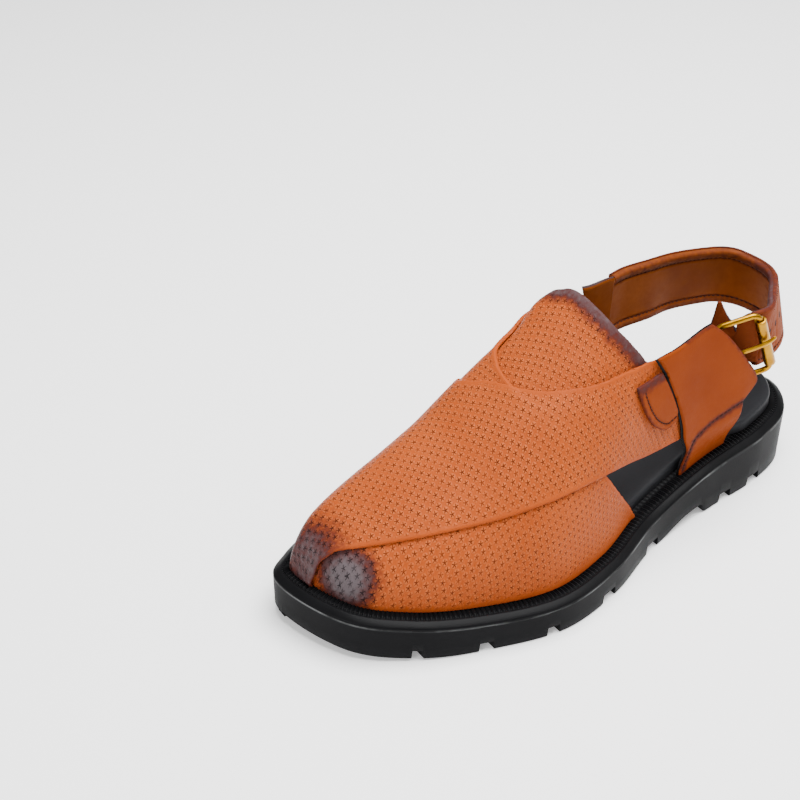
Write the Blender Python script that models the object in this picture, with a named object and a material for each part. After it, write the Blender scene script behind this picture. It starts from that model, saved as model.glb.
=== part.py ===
"""Peshawari chappal, left shoe, as a cobbler puts it together.

Metres, +X from heel to toe, +Y to the wearer's left (the little toe's side), +Z up.
The world's origin is the middle of the bounding box's bottom face. Shapes are worked out
from the heel's back end (x = 0 before the shoe is centred) in shares of the sizes below.
"""
import math

import bmesh
import bpy
import numpy as np

# Driving sizes of the sole
SOLE_LENGTH = 0.296
BALL_WIDTH = 0.111
HEEL_HEIGHT = 0.0297
TREAD_DEPTH = 0.0046
GROOVE_WIDTH = 0.0050
SIDE_CUT_DEPTH = 0.0090
LUG_ROW_WIDTH = 0.0150
WELT_RISE = 0.0030
WELT_BEVEL = 0.0040
INSOLE_THICKNESS = 0.0070
INSOLE_HEEL_MARGIN = 0.0085

# Driving sizes of the last and the leather
LAST_MARGIN = 0.0108
INSTEP_RISE = 0.1060
LEATHER = 0.0018
BAND_STEP = 0.0012
QUARTER_LEATHER = 0.0024
QUARTER_FLARE = 0.0040
TAB_LEATHER = 0.0016
STRAP_WIDTH = 0.0355
STRAP_THICKNESS = 0.0046
STRAP_HEIGHT = 0.0850
HOLE_DIAMETER = 0.0034
HOLE_PITCH = 0.0100
HOLE_COUNT = 3
FLAP_THICKNESS = 0.0016
FLAP_HEIGHT = 0.0250

# Driving sizes of the buckle
WIRE = 0.0030
BUCKLE_HEIGHT = 0.0420
BUCKLE_LENGTH = 0.0215
BUCKLE_CORNER = 0.0040
ROLLER_WALL = 0.0010
PRONG_WIRE = 0.0026
LOOP_LEATHER = 0.0012
LOOP_SHARE = 0.86
BUCKLE_LEAN = math.radians(22.6)
BUCKLE_TURN = math.radians(28.0)

# Clearances
GAP = 0.0003
PIN_CLEARANCE = 0.0004

# Plan of the outsole: share of length, outer and inner half width as shares of ball width
PLAN = [
    (0.04, 0.196, 0.228),
    (0.12, 0.286, 0.295),
    (0.25, 0.329, 0.306),
    (0.40, 0.399, 0.309),
    (0.52, 0.529, 0.351),
    (0.64, 0.587, 0.418),
    (0.76, 0.515, 0.438),
    (0.88, 0.385, 0.378),
    (0.96, 0.206, 0.272),
]
TOE_OFFSET = -0.170

# Top edge of the sole's side wall: share of length, share of heel height
RIM = [(0.0, 1.0), (0.25, 0.855), (0.42, 0.576), (0.70, 0.508), (1.0, 0.734)]

# Underside with its arch and toe spring: share of length, share of heel height
UNDERSIDE = [
    (0.0, 0.0),
    (0.262, 0.0),
    (0.275, 0.215),
    (0.31, 0.185),
    (0.385, 0.0),
    (0.80, 0.0),
    (0.90, 0.055),
    (1.0, 0.165),
]

# Cuts in the side of the tread: start and end as shares of length
SIDE_CUTS = [
    (0.120, 0.152),
    (0.197, 0.225),
    (0.389, 0.421),
    (0.526, 0.557),
    (0.653, 0.675),
    (0.760, 0.783),
    (0.864, 0.880),
]

# Grooves across the middle of the tread: centre as a share of length
CROSS_GROOVES = [0.092, 0.150, 0.208, 0.455, 0.540, 0.625, 0.715, 0.805]
HEEL_TREAD = (0.085, 0.216)
FOREFOOT_TREAD = (0.445, 0.815)

# Thickness of the insole: share of length, share of its heel thickness; and the shares of
# length between which its edge moves in from the heel's margin to inside the leather
INSOLE_NARROWS = (0.15, 0.20)
INSOLE = [(0.0, 1.0), (0.18, 0.95), (0.42, 0.60), (1.0, 0.40)]

# The last: share of length, crest height as a share of instep rise, crest's side offset as a
# share of ball width, squareness of the outer and of the inner half of the section
LAST = [
    (0.12, 1.70, -0.020, 3.0, 3.0),
    (0.30, 1.42, -0.045, 2.9, 2.9),
    (0.38, 1.18, -0.050, 2.8, 2.8),
    (0.43, 1.070, -0.060, 2.6, 3.1),
    (0.46, 1.030, -0.070, 2.4, 3.3),
    (0.51, 0.935, -0.080, 2.2, 3.4),
    (0.585, 0.775, -0.090, 2.2, 3.4),
    (0.635, 0.665, -0.100, 2.2, 3.2),
    (0.72, 0.503, -0.105, 2.3, 2.6),
    (0.80, 0.389, -0.110, 2.35, 2.4),
    (0.87, 0.292, -0.125, 2.4, 2.4),
    (0.92, 0.217, -0.140, 2.4, 2.4),
]

# Front edge of the outer band: share of length, turn over the last (0 outer feather, 1 inner)
BAND_FRONT = [
    (0.320, 0.052),
    (0.440, 0.100),
    (0.530, 0.147),
    (0.640, 0.199),
    (0.780, 0.253),
    (0.900, 0.304),
    (0.925, 0.318),
    (1.000, 0.330),
]

# The same edge where it turns down over the toe: turn, share of length
BAND_TOE = [(0.0, 0.957), (0.10, 0.956), (0.20, 0.952), (0.28, 0.945), (0.32, 0.925), (0.34, 0.890)]

# Rear edges of both bands: turn from the side of the band's tail, share of length for the
# outer band and for the inner band, which crosses under it the other way
BAND_REAR = [
    (0.000, 0.295, 0.295),
    (0.060, 0.305, 0.305),
    (0.190, 0.372, 0.375),
    (0.210, 0.396, 0.396),
    (0.263, 0.479, 0.480),
    (0.315, 0.536, 0.545),
    (0.370, 0.577, 0.578),
    (0.425, 0.600, 0.588),
    (0.480, 0.615, 0.594),
    (0.560, 0.630, 0.602),
    (0.650, 0.636, 0.600),
    (0.750, 0.612, 0.575),
    (0.860, 0.545, 0.524),
    (0.917, 0.500, 0.492),
    (0.970, 0.453, 0.453),
    (1.000, 0.431, 0.431),
]

# Rear edge of the tongue: turn over the last, share of length
TONGUE_REAR = [
    (0.160, 0.385),
    (0.217, 0.404),
    (0.270, 0.423),
    (0.330, 0.439),
    (0.420, 0.449),
    (0.500, 0.456),
    (0.580, 0.459),
    (0.670, 0.446),
    (0.730, 0.430),
    (0.790, 0.404),
    (0.840, 0.385),
]
TONGUE_FRONT = 0.660

# Quarters, bottom to top: row, front edge's share of length and turn, rear edge's share and
# turn for the outer quarter, then for the inner one
QUARTER = [
    (0, 0.315, 0.000, 0.200, 0.000, 0.200, 0.000),
    (1, 0.313, 0.030, 0.197, 0.028, 0.207, 0.028),
    (2, 0.327, 0.058, 0.196, 0.052, 0.240, 0.050),
    (3, 0.332, 0.075, 0.168, 0.068, 0.318, 0.066),
    (4, 0.350, 0.115, 0.202, 0.100, 0.325, 0.100),
    (5, 0.375, 0.165, 0.243, 0.134, 0.325, 0.140),
    (6, 0.400, 0.215, 0.286, 0.168, 0.325, 0.190),
]

# How far up a quarter climbs from the last on to the band's tail, as a turn, and the shares
# of length between which the outer one flares away
QUARTER_CLIMB = 0.045
QUARTER_FLARES = (0.19, 0.31)

# Outline of the tab on the outer band, under its top edge: share of length, turn; and the
# rows of the outer quarter's front edge between which it lies
TAB_ROWS = (3.95, 5.55)
TAB = [(0.352, 0.098), (0.374, 0.103), (0.400, 0.122), (0.424, 0.152), (0.440, 0.188), (0.446, 0.215)]

# The heel strap's middle line from the inner quarter round the heel to its pointed end:
# shares of length, ball width and strap height, shares of its width and thickness, and how
# many degrees its top edge leans inward
STRAP = [
    (0.3215, -0.262, 1.118, 1.00, 1.00, 0),
    (0.2900, -0.279, 1.115, 1.00, 1.00, 0),
    (0.2250, -0.287, 1.098, 1.00, 1.00, 1),
    (0.1690, -0.301, 1.079, 1.00, 1.00, 5),
    (0.1180, -0.288, 1.062, 1.00, 1.00, 7),
    (0.0700, -0.258, 1.044, 1.00, 1.00, 9),
    (0.0470, -0.212, 1.031, 1.00, 1.00, 10),
    (0.0345, -0.135, 1.022, 1.00, 1.00, 11),
    (0.0315, -0.045, 1.015, 1.00, 1.00, 11),
    (0.0420, 0.045, 1.012, 1.00, 1.00, 13),
    (0.0655, 0.104, 1.014, 1.00, 1.00, 12),
    (0.0985, 0.164, 1.026, 1.00, 0.95, 7),
    (0.1300, 0.213, 1.040, 1.00, 0.85, 0),
    (0.1564, 0.235, 1.052, 0.97, 0.75, -7),
    (0.1892, 0.178, 1.045, 0.82, 0.62, -7),
    (0.2010, 0.150, 1.065, 0.58, 0.55, -4),
    (0.2070, 0.138, 1.120, 0.40, 0.52, 0),
    (0.2150, 0.140, 1.205, 0.23, 0.50, 0),
    (0.2245, 0.148, 1.306, 0.05, 0.45, 0),
]

# Middle of the buckle's rear bar: shares of length, ball width and strap height
BUCKLE_PLACE = (0.1640, 0.2950, 1.068)

# The flap behind the buckle: shares of length, ball width and strap height, share of height
FLAP = [
    (0.1450, 0.130, 0.93, 0.55),
    (0.1550, 0.122, 0.92, 0.80),
    (0.1850, 0.083, 0.90, 0.90),
    (0.2150, 0.048, 0.88, 0.90),
    (0.2500, 0.060, 0.87, 0.90),
    (0.2850, 0.125, 0.87, 0.85),
    (0.3120, 0.214, 0.88, 0.80),
    (0.3300, 0.244, 0.88, 0.70),
]


def clear_scene():
    for item in list(bpy.data.objects):
        bpy.data.objects.remove(item, do_unlink=True)


def pick(table, x, column=1):
    """Value of a table's column at x, on a smooth curve that never overshoots its rows."""
    rows = np.array(table, float)
    at, value = rows[:, 0], rows[:, column]
    x = np.asarray(x, float)
    step = np.diff(at)
    slope = np.diff(value) / step
    tangent = np.empty(len(at))
    tangent[0], tangent[-1] = slope[0], slope[-1]
    for i in range(1, len(at) - 1):
        before, after = slope[i - 1], slope[i]
        if before * after <= 0:
            tangent[i] = 0.0
            continue
        total = step[i - 1] + step[i]
        tangent[i] = 3 * total / ((total + step[i]) / before + (total + step[i - 1]) / after)
    k = np.clip(np.searchsorted(at, x) - 1, 0, len(at) - 2)
    u = np.clip((x - at[k]) / step[k], 0.0, 1.0)
    rise = u * u * (3 - 2 * u)
    lead = u * (1 - u) ** 2 * step[k] * tangent[k]
    tail = u * u * (u - 1) * step[k] * tangent[k + 1]
    return value[k] + rise * (value[k + 1] - value[k]) + lead + tail


def through(points, per_span, closed=False):
    """Points on a centripetal curve through the given ones."""
    points = np.array(points, float)
    count = len(points)
    if closed:
        padded = np.vstack([points[-1], points, points[0], points[1]])
        spans = count
    else:
        padded = np.vstack([2 * points[0] - points[1], points, 2 * points[-1] - points[-2]])
        spans = count - 1
    curve = []
    for i in range(spans):
        p0, p1, p2, p3 = padded[i:i + 4]
        a, b, c = (math.sqrt(np.linalg.norm(q - p)) for p, q in ((p0, p1), (p1, p2), (p2, p3)))
        lead = p2 - p1 + b * ((p1 - p0) / a - (p2 - p0) / (a + b))
        tail = p2 - p1 + b * ((p3 - p2) / c - (p3 - p1) / (b + c))
        for u in np.arange(per_span) / per_span:
            rise = u * u * (3 - 2 * u)
            curve.append(p1 + rise * (p2 - p1) + u * (1 - u) ** 2 * lead + u * u * (u - 1) * tail)
    if not closed:
        curve.append(points[-1])
    return np.array(curve)


def outline(margin):
    """The sole's outline in plan, moved inward by a margin: a number or a function of share."""
    outer = [(share * SOLE_LENGTH, out * BALL_WIDTH) for share, out, _ in PLAN]
    inner = [(share * SOLE_LENGTH, -side * BALL_WIDTH) for share, _, side in reversed(PLAN)]
    corners = [(0.0, 0.0)] + outer + [(SOLE_LENGTH, TOE_OFFSET * BALL_WIDTH)] + inner
    curve = through(corners, 24, closed=True)
    along = np.roll(curve, -1, 0) - np.roll(curve, 1, 0)
    along /= np.linalg.norm(along, axis=1)[:, None]
    inward = np.column_stack([along[:, 1], -along[:, 0]])
    amount = margin(curve[:, 0] / SOLE_LENGTH) if callable(margin) else margin
    return curve + inward * np.reshape(amount, (-1, 1) if callable(margin) else (1, 1))


def sides(margin):
    """Both sides of the outline, each from heel to toe."""
    curve = outline(margin)
    curve = np.roll(curve, -curve[:, 0].argmin(), axis=0)
    toe = curve[:, 0].argmax()
    outer = curve[:toe + 1]
    inner = np.vstack([curve[toe:], curve[:1]])[::-1]
    return outer, inner


def rim(share):
    return HEEL_HEIGHT * pick(RIM, np.clip(share, 0, 1))


def underside(share):
    return HEEL_HEIGHT * pick(UNDERSIDE, np.clip(share, 0, 1))


def deck(share):
    """Height of the welt's flat top, on which upper and insole sit."""
    return rim(share) + GAP + WELT_RISE


def plan_ring(margin, height, spans=64):
    """Closed ring of points at a margin inside the outline; height is a function of share."""
    outer, inner = sides(margin)
    first, last = outer[0, 0], outer[-1, 0]
    x = first + (last - first) * (1 - np.cos(np.linspace(0, math.pi, spans + 1))) / 2
    out_y = np.interp(x, outer[:, 0], outer[:, 1])
    in_y = np.interp(x, inner[:, 0], inner[:, 1])
    plan = np.vstack([np.column_stack([x, out_y]), np.column_stack([x, in_y])[-2:0:-1]])
    return np.column_stack([plan, height(plan[:, 0] / SOLE_LENGTH)])


def material(name, colour, roughness, metallic=0.0):
    made = bpy.data.materials.new(name)
    made.use_nodes = True
    shader = made.node_tree.nodes["Principled BSDF"]
    shader.inputs["Base Color"].default_value = (*colour, 1.0)
    shader.inputs["Roughness"].default_value = roughness
    shader.inputs["Metallic"].default_value = metallic
    return made


def add_object(name, points, faces, finish, smooth_angle=35.0):
    mesh = bpy.data.meshes.new(name)
    mesh.from_pydata([tuple(p) for p in points], [], faces)
    shape = bmesh.new()
    shape.from_mesh(mesh)
    bmesh.ops.remove_doubles(shape, verts=shape.verts[:], dist=1e-6)
    bmesh.ops.recalc_face_normals(shape, faces=shape.faces[:])
    if shape.calc_volume(signed=True) < 0:
        bmesh.ops.reverse_faces(shape, faces=shape.faces[:])
    shape.to_mesh(mesh)
    shape.free()
    mesh.shade_smooth()
    mesh.set_sharp_from_angle(angle=math.radians(smooth_angle))
    made = bpy.data.objects.new(name, mesh)
    bpy.context.scene.collection.objects.link(made)
    if finish:
        mesh.materials.append(finish)
    return made


def stack_rings(name, rings, finish):
    """Solid through closed plan rings, bottom to top, capped across with strips."""
    size = len(rings[0])
    half = size // 2
    faces = []
    for level in range(len(rings) - 1):
        low, high = level * size, (level + 1) * size
        for i in range(size):
            j = (i + 1) % size
            faces.append((low + i, low + j, high + j, high + i))
    for base in (0, (len(rings) - 1) * size):
        faces.append((base, base + 1, base + size - 1))
        faces.append((base + half, base + half + 1, base + half - 1))
        for i in range(1, half - 1):
            faces.append((base + i, base + i + 1, base + size - i - 1, base + size - i))
    return add_object(name, np.vstack(rings), faces, finish)


def slab(name, inner, outer, finish):
    """Solid between two grids of points of one shape."""
    rows, columns = inner.shape[:2]
    points = np.vstack([inner.reshape(-1, 3), outer.reshape(-1, 3)])
    top = rows * columns

    def at(i, j):
        return i * columns + j

    faces = []
    for i in range(rows - 1):
        for j in range(columns - 1):
            face = (at(i, j), at(i, j + 1), at(i + 1, j + 1), at(i + 1, j))
            faces += [face[::-1], tuple(k + top for k in face)]
    rim_path = [at(0, j) for j in range(columns)]
    rim_path += [at(i, columns - 1) for i in range(1, rows)]
    rim_path += [at(rows - 1, j) for j in range(columns - 2, -1, -1)]
    rim_path += [at(i, 0) for i in range(rows - 2, 0, -1)]
    for a, b in zip(rim_path, rim_path[1:] + rim_path[:1]):
        faces.append((a, b, b + top, a + top))
    return add_object(name, points, faces, finish)


def tube(name, path, section, finish, closed=False, across=None):
    """Solid swept along a path. section holds (across, over) offsets, or is a function of the
    path's index; across is the section's first direction, upright paths need it."""
    path = np.array(path, float)
    count = len(path)
    if closed:
        along = np.roll(path, -1, 0) - np.roll(path, 1, 0)
    else:
        along = np.gradient(path, axis=0)
    along /= np.linalg.norm(along, axis=1)[:, None]
    if across is None:
        across = np.cross(along, (0.0, 0.0, 1.0))
    across = np.broadcast_to(across, along.shape)
    across = across / np.linalg.norm(across, axis=1)[:, None]
    rings = []
    for i in range(count):
        over = np.cross(across[i], along[i])
        offsets = section(i) if callable(section) else section
        rings.append([path[i] + a * across[i] + b * over for a, b in offsets])
    size = len(rings[0])
    points = np.array(rings).reshape(-1, 3)
    faces = []
    for i in range(count if closed else count - 1):
        near, far = i * size, ((i + 1) % count) * size
        for j in range(size):
            k = (j + 1) % size
            faces.append((near + j, near + k, far + k, far + j))
    if not closed:
        faces += [tuple(range(size)), tuple(range((count - 1) * size, count * size))]
    return add_object(name, points, faces, finish)


def circle(radius, count=12):
    turns = np.linspace(0, 2 * math.pi, count, endpoint=False)
    return [(radius * math.cos(t), radius * math.sin(t)) for t in turns]


def soft_rectangle(thickness, width, corner):
    """Section of a padded strap: a rectangle with each corner cut twice."""
    a, b = thickness / 2, width / 2
    c = min(corner, 0.8 * a, 0.8 * b)
    quarter = [(a, b - c), (a - 0.3 * c, b - 0.3 * c), (a - c, b)]
    mirrored = [(-x, y) for x, y in reversed(quarter)]
    return quarter + mirrored + [(-x, -y) for x, y in quarter] + [(-x, -y) for x, y in mirrored]


def pipe(name, start, end, inner, outer, finish, count=16):
    """Hollow cylinder between two points."""
    start, end = np.array(start), np.array(end)
    along = (end - start) / np.linalg.norm(end - start)
    across = np.cross(along, (0.0, 1.0, 0.0))
    across /= np.linalg.norm(across)
    over = np.cross(across, along)
    rings = []
    for centre, radius in ((start, inner), (start, outer), (end, outer), (end, inner)):
        rings.append([centre + a * across + b * over for a, b in circle(radius, count)])
    faces = []
    for i in range(4):
        near, far = i * count, ((i + 1) % 4) * count
        for j in range(count):
            k = (j + 1) % count
            faces.append((near + j, near + k, far + k, far + j))
    return add_object(name, np.array(rings).reshape(-1, 3), faces, finish)


def cut(target, cutter, operation="DIFFERENCE"):
    cutter.hide_render = True
    cutter.display_type = "WIRE"
    modifier = target.modifiers.new(operation.title(), "BOOLEAN")
    modifier.operation = operation
    modifier.object = cutter
    modifier.use_self = False
    return modifier


def prism(corners, low, high):
    """Points and faces of an upright prism; low and high give a height for each corner."""
    count = len(corners)
    points = [(x, y, z) for (x, y), z in zip(corners, low)]
    points += [(x, y, z) for (x, y), z in zip(corners, high)]
    faces = [tuple(range(count)), tuple(range(count, 2 * count))]
    faces += [(i, (i + 1) % count, (i + 1) % count + count, i + count) for i in range(count)]
    return points, faces


def gather(name, solids):
    """One cutter object from several separate prisms."""
    points, faces = [], []
    for solid_points, solid_faces in solids:
        base = len(points)
        points += solid_points
        faces += [tuple(base + k for k in face) for face in solid_faces]
    return add_object(name, points, faces, None)


def groove_prism(plan):
    """Prism from under the floor to the tread's depth above the local underside."""
    floor = [-TREAD_DEPTH] * len(plan)
    roof = [float(underside(x / SOLE_LENGTH)) + TREAD_DEPTH for x, _ in plan]
    return prism(plan, floor, roof)


def side_point(side, share, margin):
    """Point at a margin inside the outline on one side (0 outer, 1 inner)."""
    line = sides(margin)[side]
    x = share * SOLE_LENGTH
    return x, float(np.interp(x, line[:, 0], line[:, 1]))


def build_outsole(rubber):
    wall_bevel = 0.0008
    rings = [
        plan_ring(wall_bevel, underside),
        plan_ring(0.0, lambda share: underside(share) + wall_bevel),
        plan_ring(0.0, rim),
    ]
    outsole = stack_rings("outsole", rings, rubber)

    side_cuts = []
    for side in (0, 1):
        for start, end in SIDE_CUTS:
            plan = [
                side_point(side, start, -TREAD_DEPTH),
                side_point(side, end, -TREAD_DEPTH),
                side_point(side, end, SIDE_CUT_DEPTH),
                side_point(side, start, SIDE_CUT_DEPTH),
            ]
            side_cuts.append(groove_prism(plan))
    cut(outsole, gather("side_cuts", side_cuts))

    channels = []
    stations_per_length = 24
    for side in (0, 1):
        for start, end in (HEEL_TREAD, FOREFOOT_TREAD):
            shares = np.linspace(start, end, 3 + round((end - start) * stations_per_length))
            near = [side_point(side, s, LUG_ROW_WIDTH) for s in shares]
            far = [side_point(side, s, LUG_ROW_WIDTH + GROOVE_WIDTH) for s in shares]
            channels.append(groove_prism(near + far[::-1]))
    cut(outsole, gather("lengthwise_grooves", channels))

    crossings = []
    for centre in CROSS_GROOVES:
        half = 0.5 * GROOVE_WIDTH / SOLE_LENGTH
        inside = LUG_ROW_WIDTH + 0.5 * GROOVE_WIDTH
        plan = [
            side_point(0, centre - half, inside),
            side_point(0, centre + half, inside),
            side_point(1, centre + half, inside),
            side_point(1, centre - half, inside),
        ]
        crossings.append(groove_prism(plan))
    cut(outsole, gather("cross_grooves", crossings))
    return outsole


def build_welt(rubber):
    rings = [
        plan_ring(0.0, lambda share: rim(share) + GAP),
        plan_ring(WELT_BEVEL, deck),
    ]
    return stack_rings("welt", rings, rubber)


def insole_margin(share):
    """The insole shows at the heel and stays inside the leather further forward."""
    inside = LAST_MARGIN + LEATHER
    start, end = INSOLE_NARROWS
    blend = np.clip((share - start) / (end - start), 0.0, 1.0)
    return INSOLE_HEEL_MARGIN + (inside - INSOLE_HEEL_MARGIN) * blend


def insole_top(share):
    return deck(share) + GAP + INSOLE_THICKNESS * pick(INSOLE, np.clip(share, 0, 1))


def build_insole(lining):
    edge = 0.0015
    rings = [
        plan_ring(insole_margin, lambda share: deck(share) + GAP),
        plan_ring(insole_margin, lambda share: insole_top(share) - edge),
        plan_ring(lambda share: insole_margin(share) + edge, insole_top),
    ]
    return stack_rings("insole", rings, lining)


LAST_SIDES = sides(LAST_MARGIN)
LAST_TIP = LAST_SIDES[0][-1, 0] / SOLE_LENGTH


def last_point(share, turn):
    """Point on the last: share of length, and turn from outer feather (0) to inner (1)."""
    share, turn = np.broadcast_arrays(np.asarray(share, float), np.asarray(turn, float))
    share = np.minimum(share, LAST_TIP)
    x = share * SOLE_LENGTH
    out_y = np.interp(x, LAST_SIDES[0][:, 0], LAST_SIDES[0][:, 1])
    in_y = np.interp(x, LAST_SIDES[1][:, 0], LAST_SIDES[1][:, 1])
    rows = [(-math.sqrt(LAST_TIP - row[0]), row[1]) for row in LAST] + [(0.0, 0.0)]
    crest = INSTEP_RISE * pick(rows, -np.sqrt(LAST_TIP - share))
    middle = np.clip(BALL_WIDTH * pick(LAST, share, 2), in_y, out_y)
    angle = math.pi * turn
    c, s = np.cos(angle), np.sin(angle)
    outside = c >= 0
    power = np.where(outside, pick(LAST, share, 3), pick(LAST, share, 4))
    radius = (np.abs(c) ** power + np.abs(s) ** power) ** (-1 / power)
    half = np.where(outside, out_y - middle, middle - in_y)
    y = middle + half * radius * c
    z = deck(share) + GAP + crest * radius * s
    return np.stack([x, y, z], axis=-1)


def last_normal(share, turn):
    """Outward normal of the last, level at the feather line."""
    share = np.minimum(np.asarray(share, float), LAST_TIP - 2e-4)
    turn = np.asarray(turn, float)
    step = 1e-4
    along = last_point(share + step, turn) - last_point(share - step, turn)
    before, after = np.clip(turn - step, 0, 1), np.clip(turn + step, 0, 1)
    around = last_point(share, after) - last_point(share, before)
    normal = np.cross(around, along)
    feather = np.minimum(turn, 1 - turn)
    level = np.clip(feather / 0.02, 0.0, 1.0)
    normal[..., 2] *= level
    return normal / np.linalg.norm(normal, axis=-1)[..., None]


def on_last(share, turn, height):
    return last_point(share, turn) + last_normal(share, turn) * np.asarray(height)[..., None]


def leather_on_last(name, stations, turns, lines, level_of, base, tops, finish):
    """One hollow leather solid over the last.

    A flat grid of stations by turns is split along each line, a function of share and turn
    that is zero on the edge. level_of says which of the tops a face has, 0 for none; base
    and tops are heights above the last, as functions of share and turn.
    """
    flat = bmesh.new()
    grid = [[flat.verts.new((share, turn, 0.0)) for turn in turns] for share in stations]
    for low, high in zip(grid, grid[1:]):
        for j in range(len(turns) - 1):
            flat.faces.new((low[j], high[j], high[j + 1], low[j + 1]))
    for line in lines:
        for vert in flat.verts:
            vert.co.z = float(line(vert.co.x, vert.co.y))
        geometry = flat.verts[:] + flat.edges[:] + flat.faces[:]
        bmesh.ops.bisect_plane(
            flat, geom=geometry, dist=4e-4, plane_co=(0, 0, 0), plane_no=(0, 0, 1))
    levels = {}
    for face in flat.faces:
        centre = face.calc_center_median()
        levels[face] = level_of(centre.x, centre.y)
    corners = sorted({v for f, n in levels.items() if n for v in f.verts}, key=lambda v: v.index)
    share = np.array([v.co.x for v in corners])
    turn = np.array([v.co.y for v in corners])
    heights = [base] + list(tops)
    placed = [on_last(share, turn, height(share, turn)) for height in heights]
    order = {v: i for i, v in enumerate(corners)}
    used = {v: sorted({levels[f] for f in v.link_faces if levels[f]}) for v in corners}

    def key(vert, level):
        return level * len(corners) + order[vert]

    faces = []
    for face, level in levels.items():
        if level:
            faces.append([key(v, level) for v in face.verts])
            faces.append([key(v, 0) for v in reversed(face.verts)])
    for edge in flat.edges:
        near = [levels[f] for f in edge.link_faces if levels[f]]
        if not near or (len(near) == 2 and near[0] == near[1]):
            continue
        top = max(near)
        bottom = min(near) if len(near) == 2 else 0
        a, b = edge.verts
        down = [n for n in sorted(used[b] + [0], reverse=True) if bottom <= n < top]
        back = [n for n in sorted(used[a] + [0]) if bottom <= n < top]
        wall = [key(a, top), key(b, top)] + [key(b, n) for n in down] + [key(a, n) for n in back]
        faces.append(wall)
    points = np.vstack(placed)
    flat.free()
    wanted = sorted({k for face in faces for k in face})
    renumber = {k: i for i, k in enumerate(wanted)}
    faces = [tuple(renumber[k] for k in face) for face in faces]
    return add_object(name, points[wanted], faces, finish)


def constant(height):
    return lambda share, turn: np.full(np.shape(share), height)


def front_of_outer_band(share, turn):
    over_side = turn - pick(BAND_FRONT, share)
    over_toe = share - pick(BAND_TOE, turn)
    return np.maximum(over_side, over_toe)


def rear_of_outer_band(share, turn):
    return share - pick(BAND_REAR, turn, 1)


def front_of_inner_band(share, turn):
    return front_of_outer_band(share, 1 - turn)


def rear_of_inner_band(share, turn):
    return share - pick(BAND_REAR, 1 - turn, 2)


def band_level(share, turn):
    if front_of_outer_band(share, turn) > 0 and rear_of_outer_band(share, turn) > 0:
        return 2
    if front_of_inner_band(share, turn) > 0 and rear_of_inner_band(share, turn) > 0:
        return 1
    return 0


def upper_grid():
    """Stations that crowd together towards the tip of the last, and turns over it."""
    first = BAND_REAR[0][1] - 0.002
    spread = np.sin(np.linspace(0, math.pi / 2, 26))
    return first + (LAST_TIP - first) * spread, np.linspace(0, 1, 27)


def build_upper(leather):
    lines = [front_of_outer_band, rear_of_outer_band, front_of_inner_band, rear_of_inner_band]
    tops = [constant(LEATHER), constant(LEATHER + BAND_STEP)]
    return leather_on_last("upper", *upper_grid(), lines, band_level, constant(0.0), tops, leather)


def build_tongue(leather):
    def rear(share, turn):
        return share - pick(TONGUE_REAR, turn)

    def front(share, turn):
        return TONGUE_FRONT - share

    def low(share, turn):
        return min(turn - TONGUE_REAR[0][0], TONGUE_REAR[-1][0] - turn)

    def level(share, turn):
        return int(rear(share, turn) > 0 and front(share, turn) > 0 and low(share, turn) > 0)

    return leather_on_last(
        "tongue", *upper_grid(), [rear, front, low], level,
        constant(-GAP - LEATHER), [constant(-GAP)], leather)


def band_tail_height():
    """Height over the last of what rests on a band's tail."""
    return LEATHER + BAND_STEP + GAP


def ease(value):
    value = np.clip(value, 0, 1)
    return value * value * (3 - 2 * value)


def quarter_base(share, turn, flare):
    """A quarter lies on the last at the feather and on the band's tail above it, and the
    outer one flares at its rear edge to let the buckle in behind it."""
    up = ease(np.minimum(turn, 1 - turn) / QUARTER_CLIMB)
    back = ease((QUARTER_FLARES[1] - share) / (QUARTER_FLARES[1] - QUARTER_FLARES[0]))
    return GAP + (band_tail_height() - GAP) * up + flare * back * up


def build_quarter(name, inner_side, leather):
    rows = np.linspace(0, QUARTER[-1][0], 17)
    columns = np.linspace(0, 1, 10)
    rear_column = 5 if inner_side else 3
    front_share, front_turn = pick(QUARTER, rows, 1), pick(QUARTER, rows, 2)
    rear_share, rear_turn = pick(QUARTER, rows, rear_column), pick(QUARTER, rows, rear_column + 1)
    share = front_share[:, None] + (rear_share - front_share)[:, None] * columns
    turn = front_turn[:, None] + (rear_turn - front_turn)[:, None] * columns
    if inner_side:
        turn = 1 - turn
    base = quarter_base(share, turn, 0.0 if inner_side else QUARTER_FLARE)
    return slab(name, on_last(share, turn, base), on_last(share, turn, base + QUARTER_LEATHER), leather)


def build_tab(leather):
    """Half round tab that peeps out in front of the outer quarter, on the outer band."""
    rows = np.linspace(0, 1, 8)
    columns = np.linspace(0, 1, 9)
    clearance = 3.6 * GAP / SOLE_LENGTH
    low_share = pick(TAB, TAB[0][0] + (TAB[-1][0] - TAB[0][0]) * columns, 0)
    low_turn = pick(TAB, low_share, 1)
    edge_row = np.linspace(*TAB_ROWS, len(columns))
    rear_share = pick(QUARTER, edge_row, 1) + clearance
    rear_turn = pick(QUARTER, edge_row, 2)
    share = low_share[None, :] + (rear_share - low_share)[None, :] * rows[:, None]
    turn = low_turn[None, :] + (rear_turn - low_turn)[None, :] * rows[:, None]
    base = np.full(share.shape, band_tail_height() + GAP)
    return slab("tab", on_last(share, turn, base), on_last(share, turn, base + TAB_LEATHER), leather)


def strap_path(table, per_span):
    """Middle line and the shares that go along with it, from a table of rows."""
    rows = np.array(table, float)
    line = through(rows[:, :3] * (SOLE_LENGTH, BALL_WIDTH, STRAP_HEIGHT), per_span)
    numbered = np.column_stack([np.arange(len(rows)), rows])
    place = np.arange(len(line)) / per_span
    shares = [pick(numbered, place, column) for column in range(4, numbered.shape[1])]
    return line, np.column_stack(shares)


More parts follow.
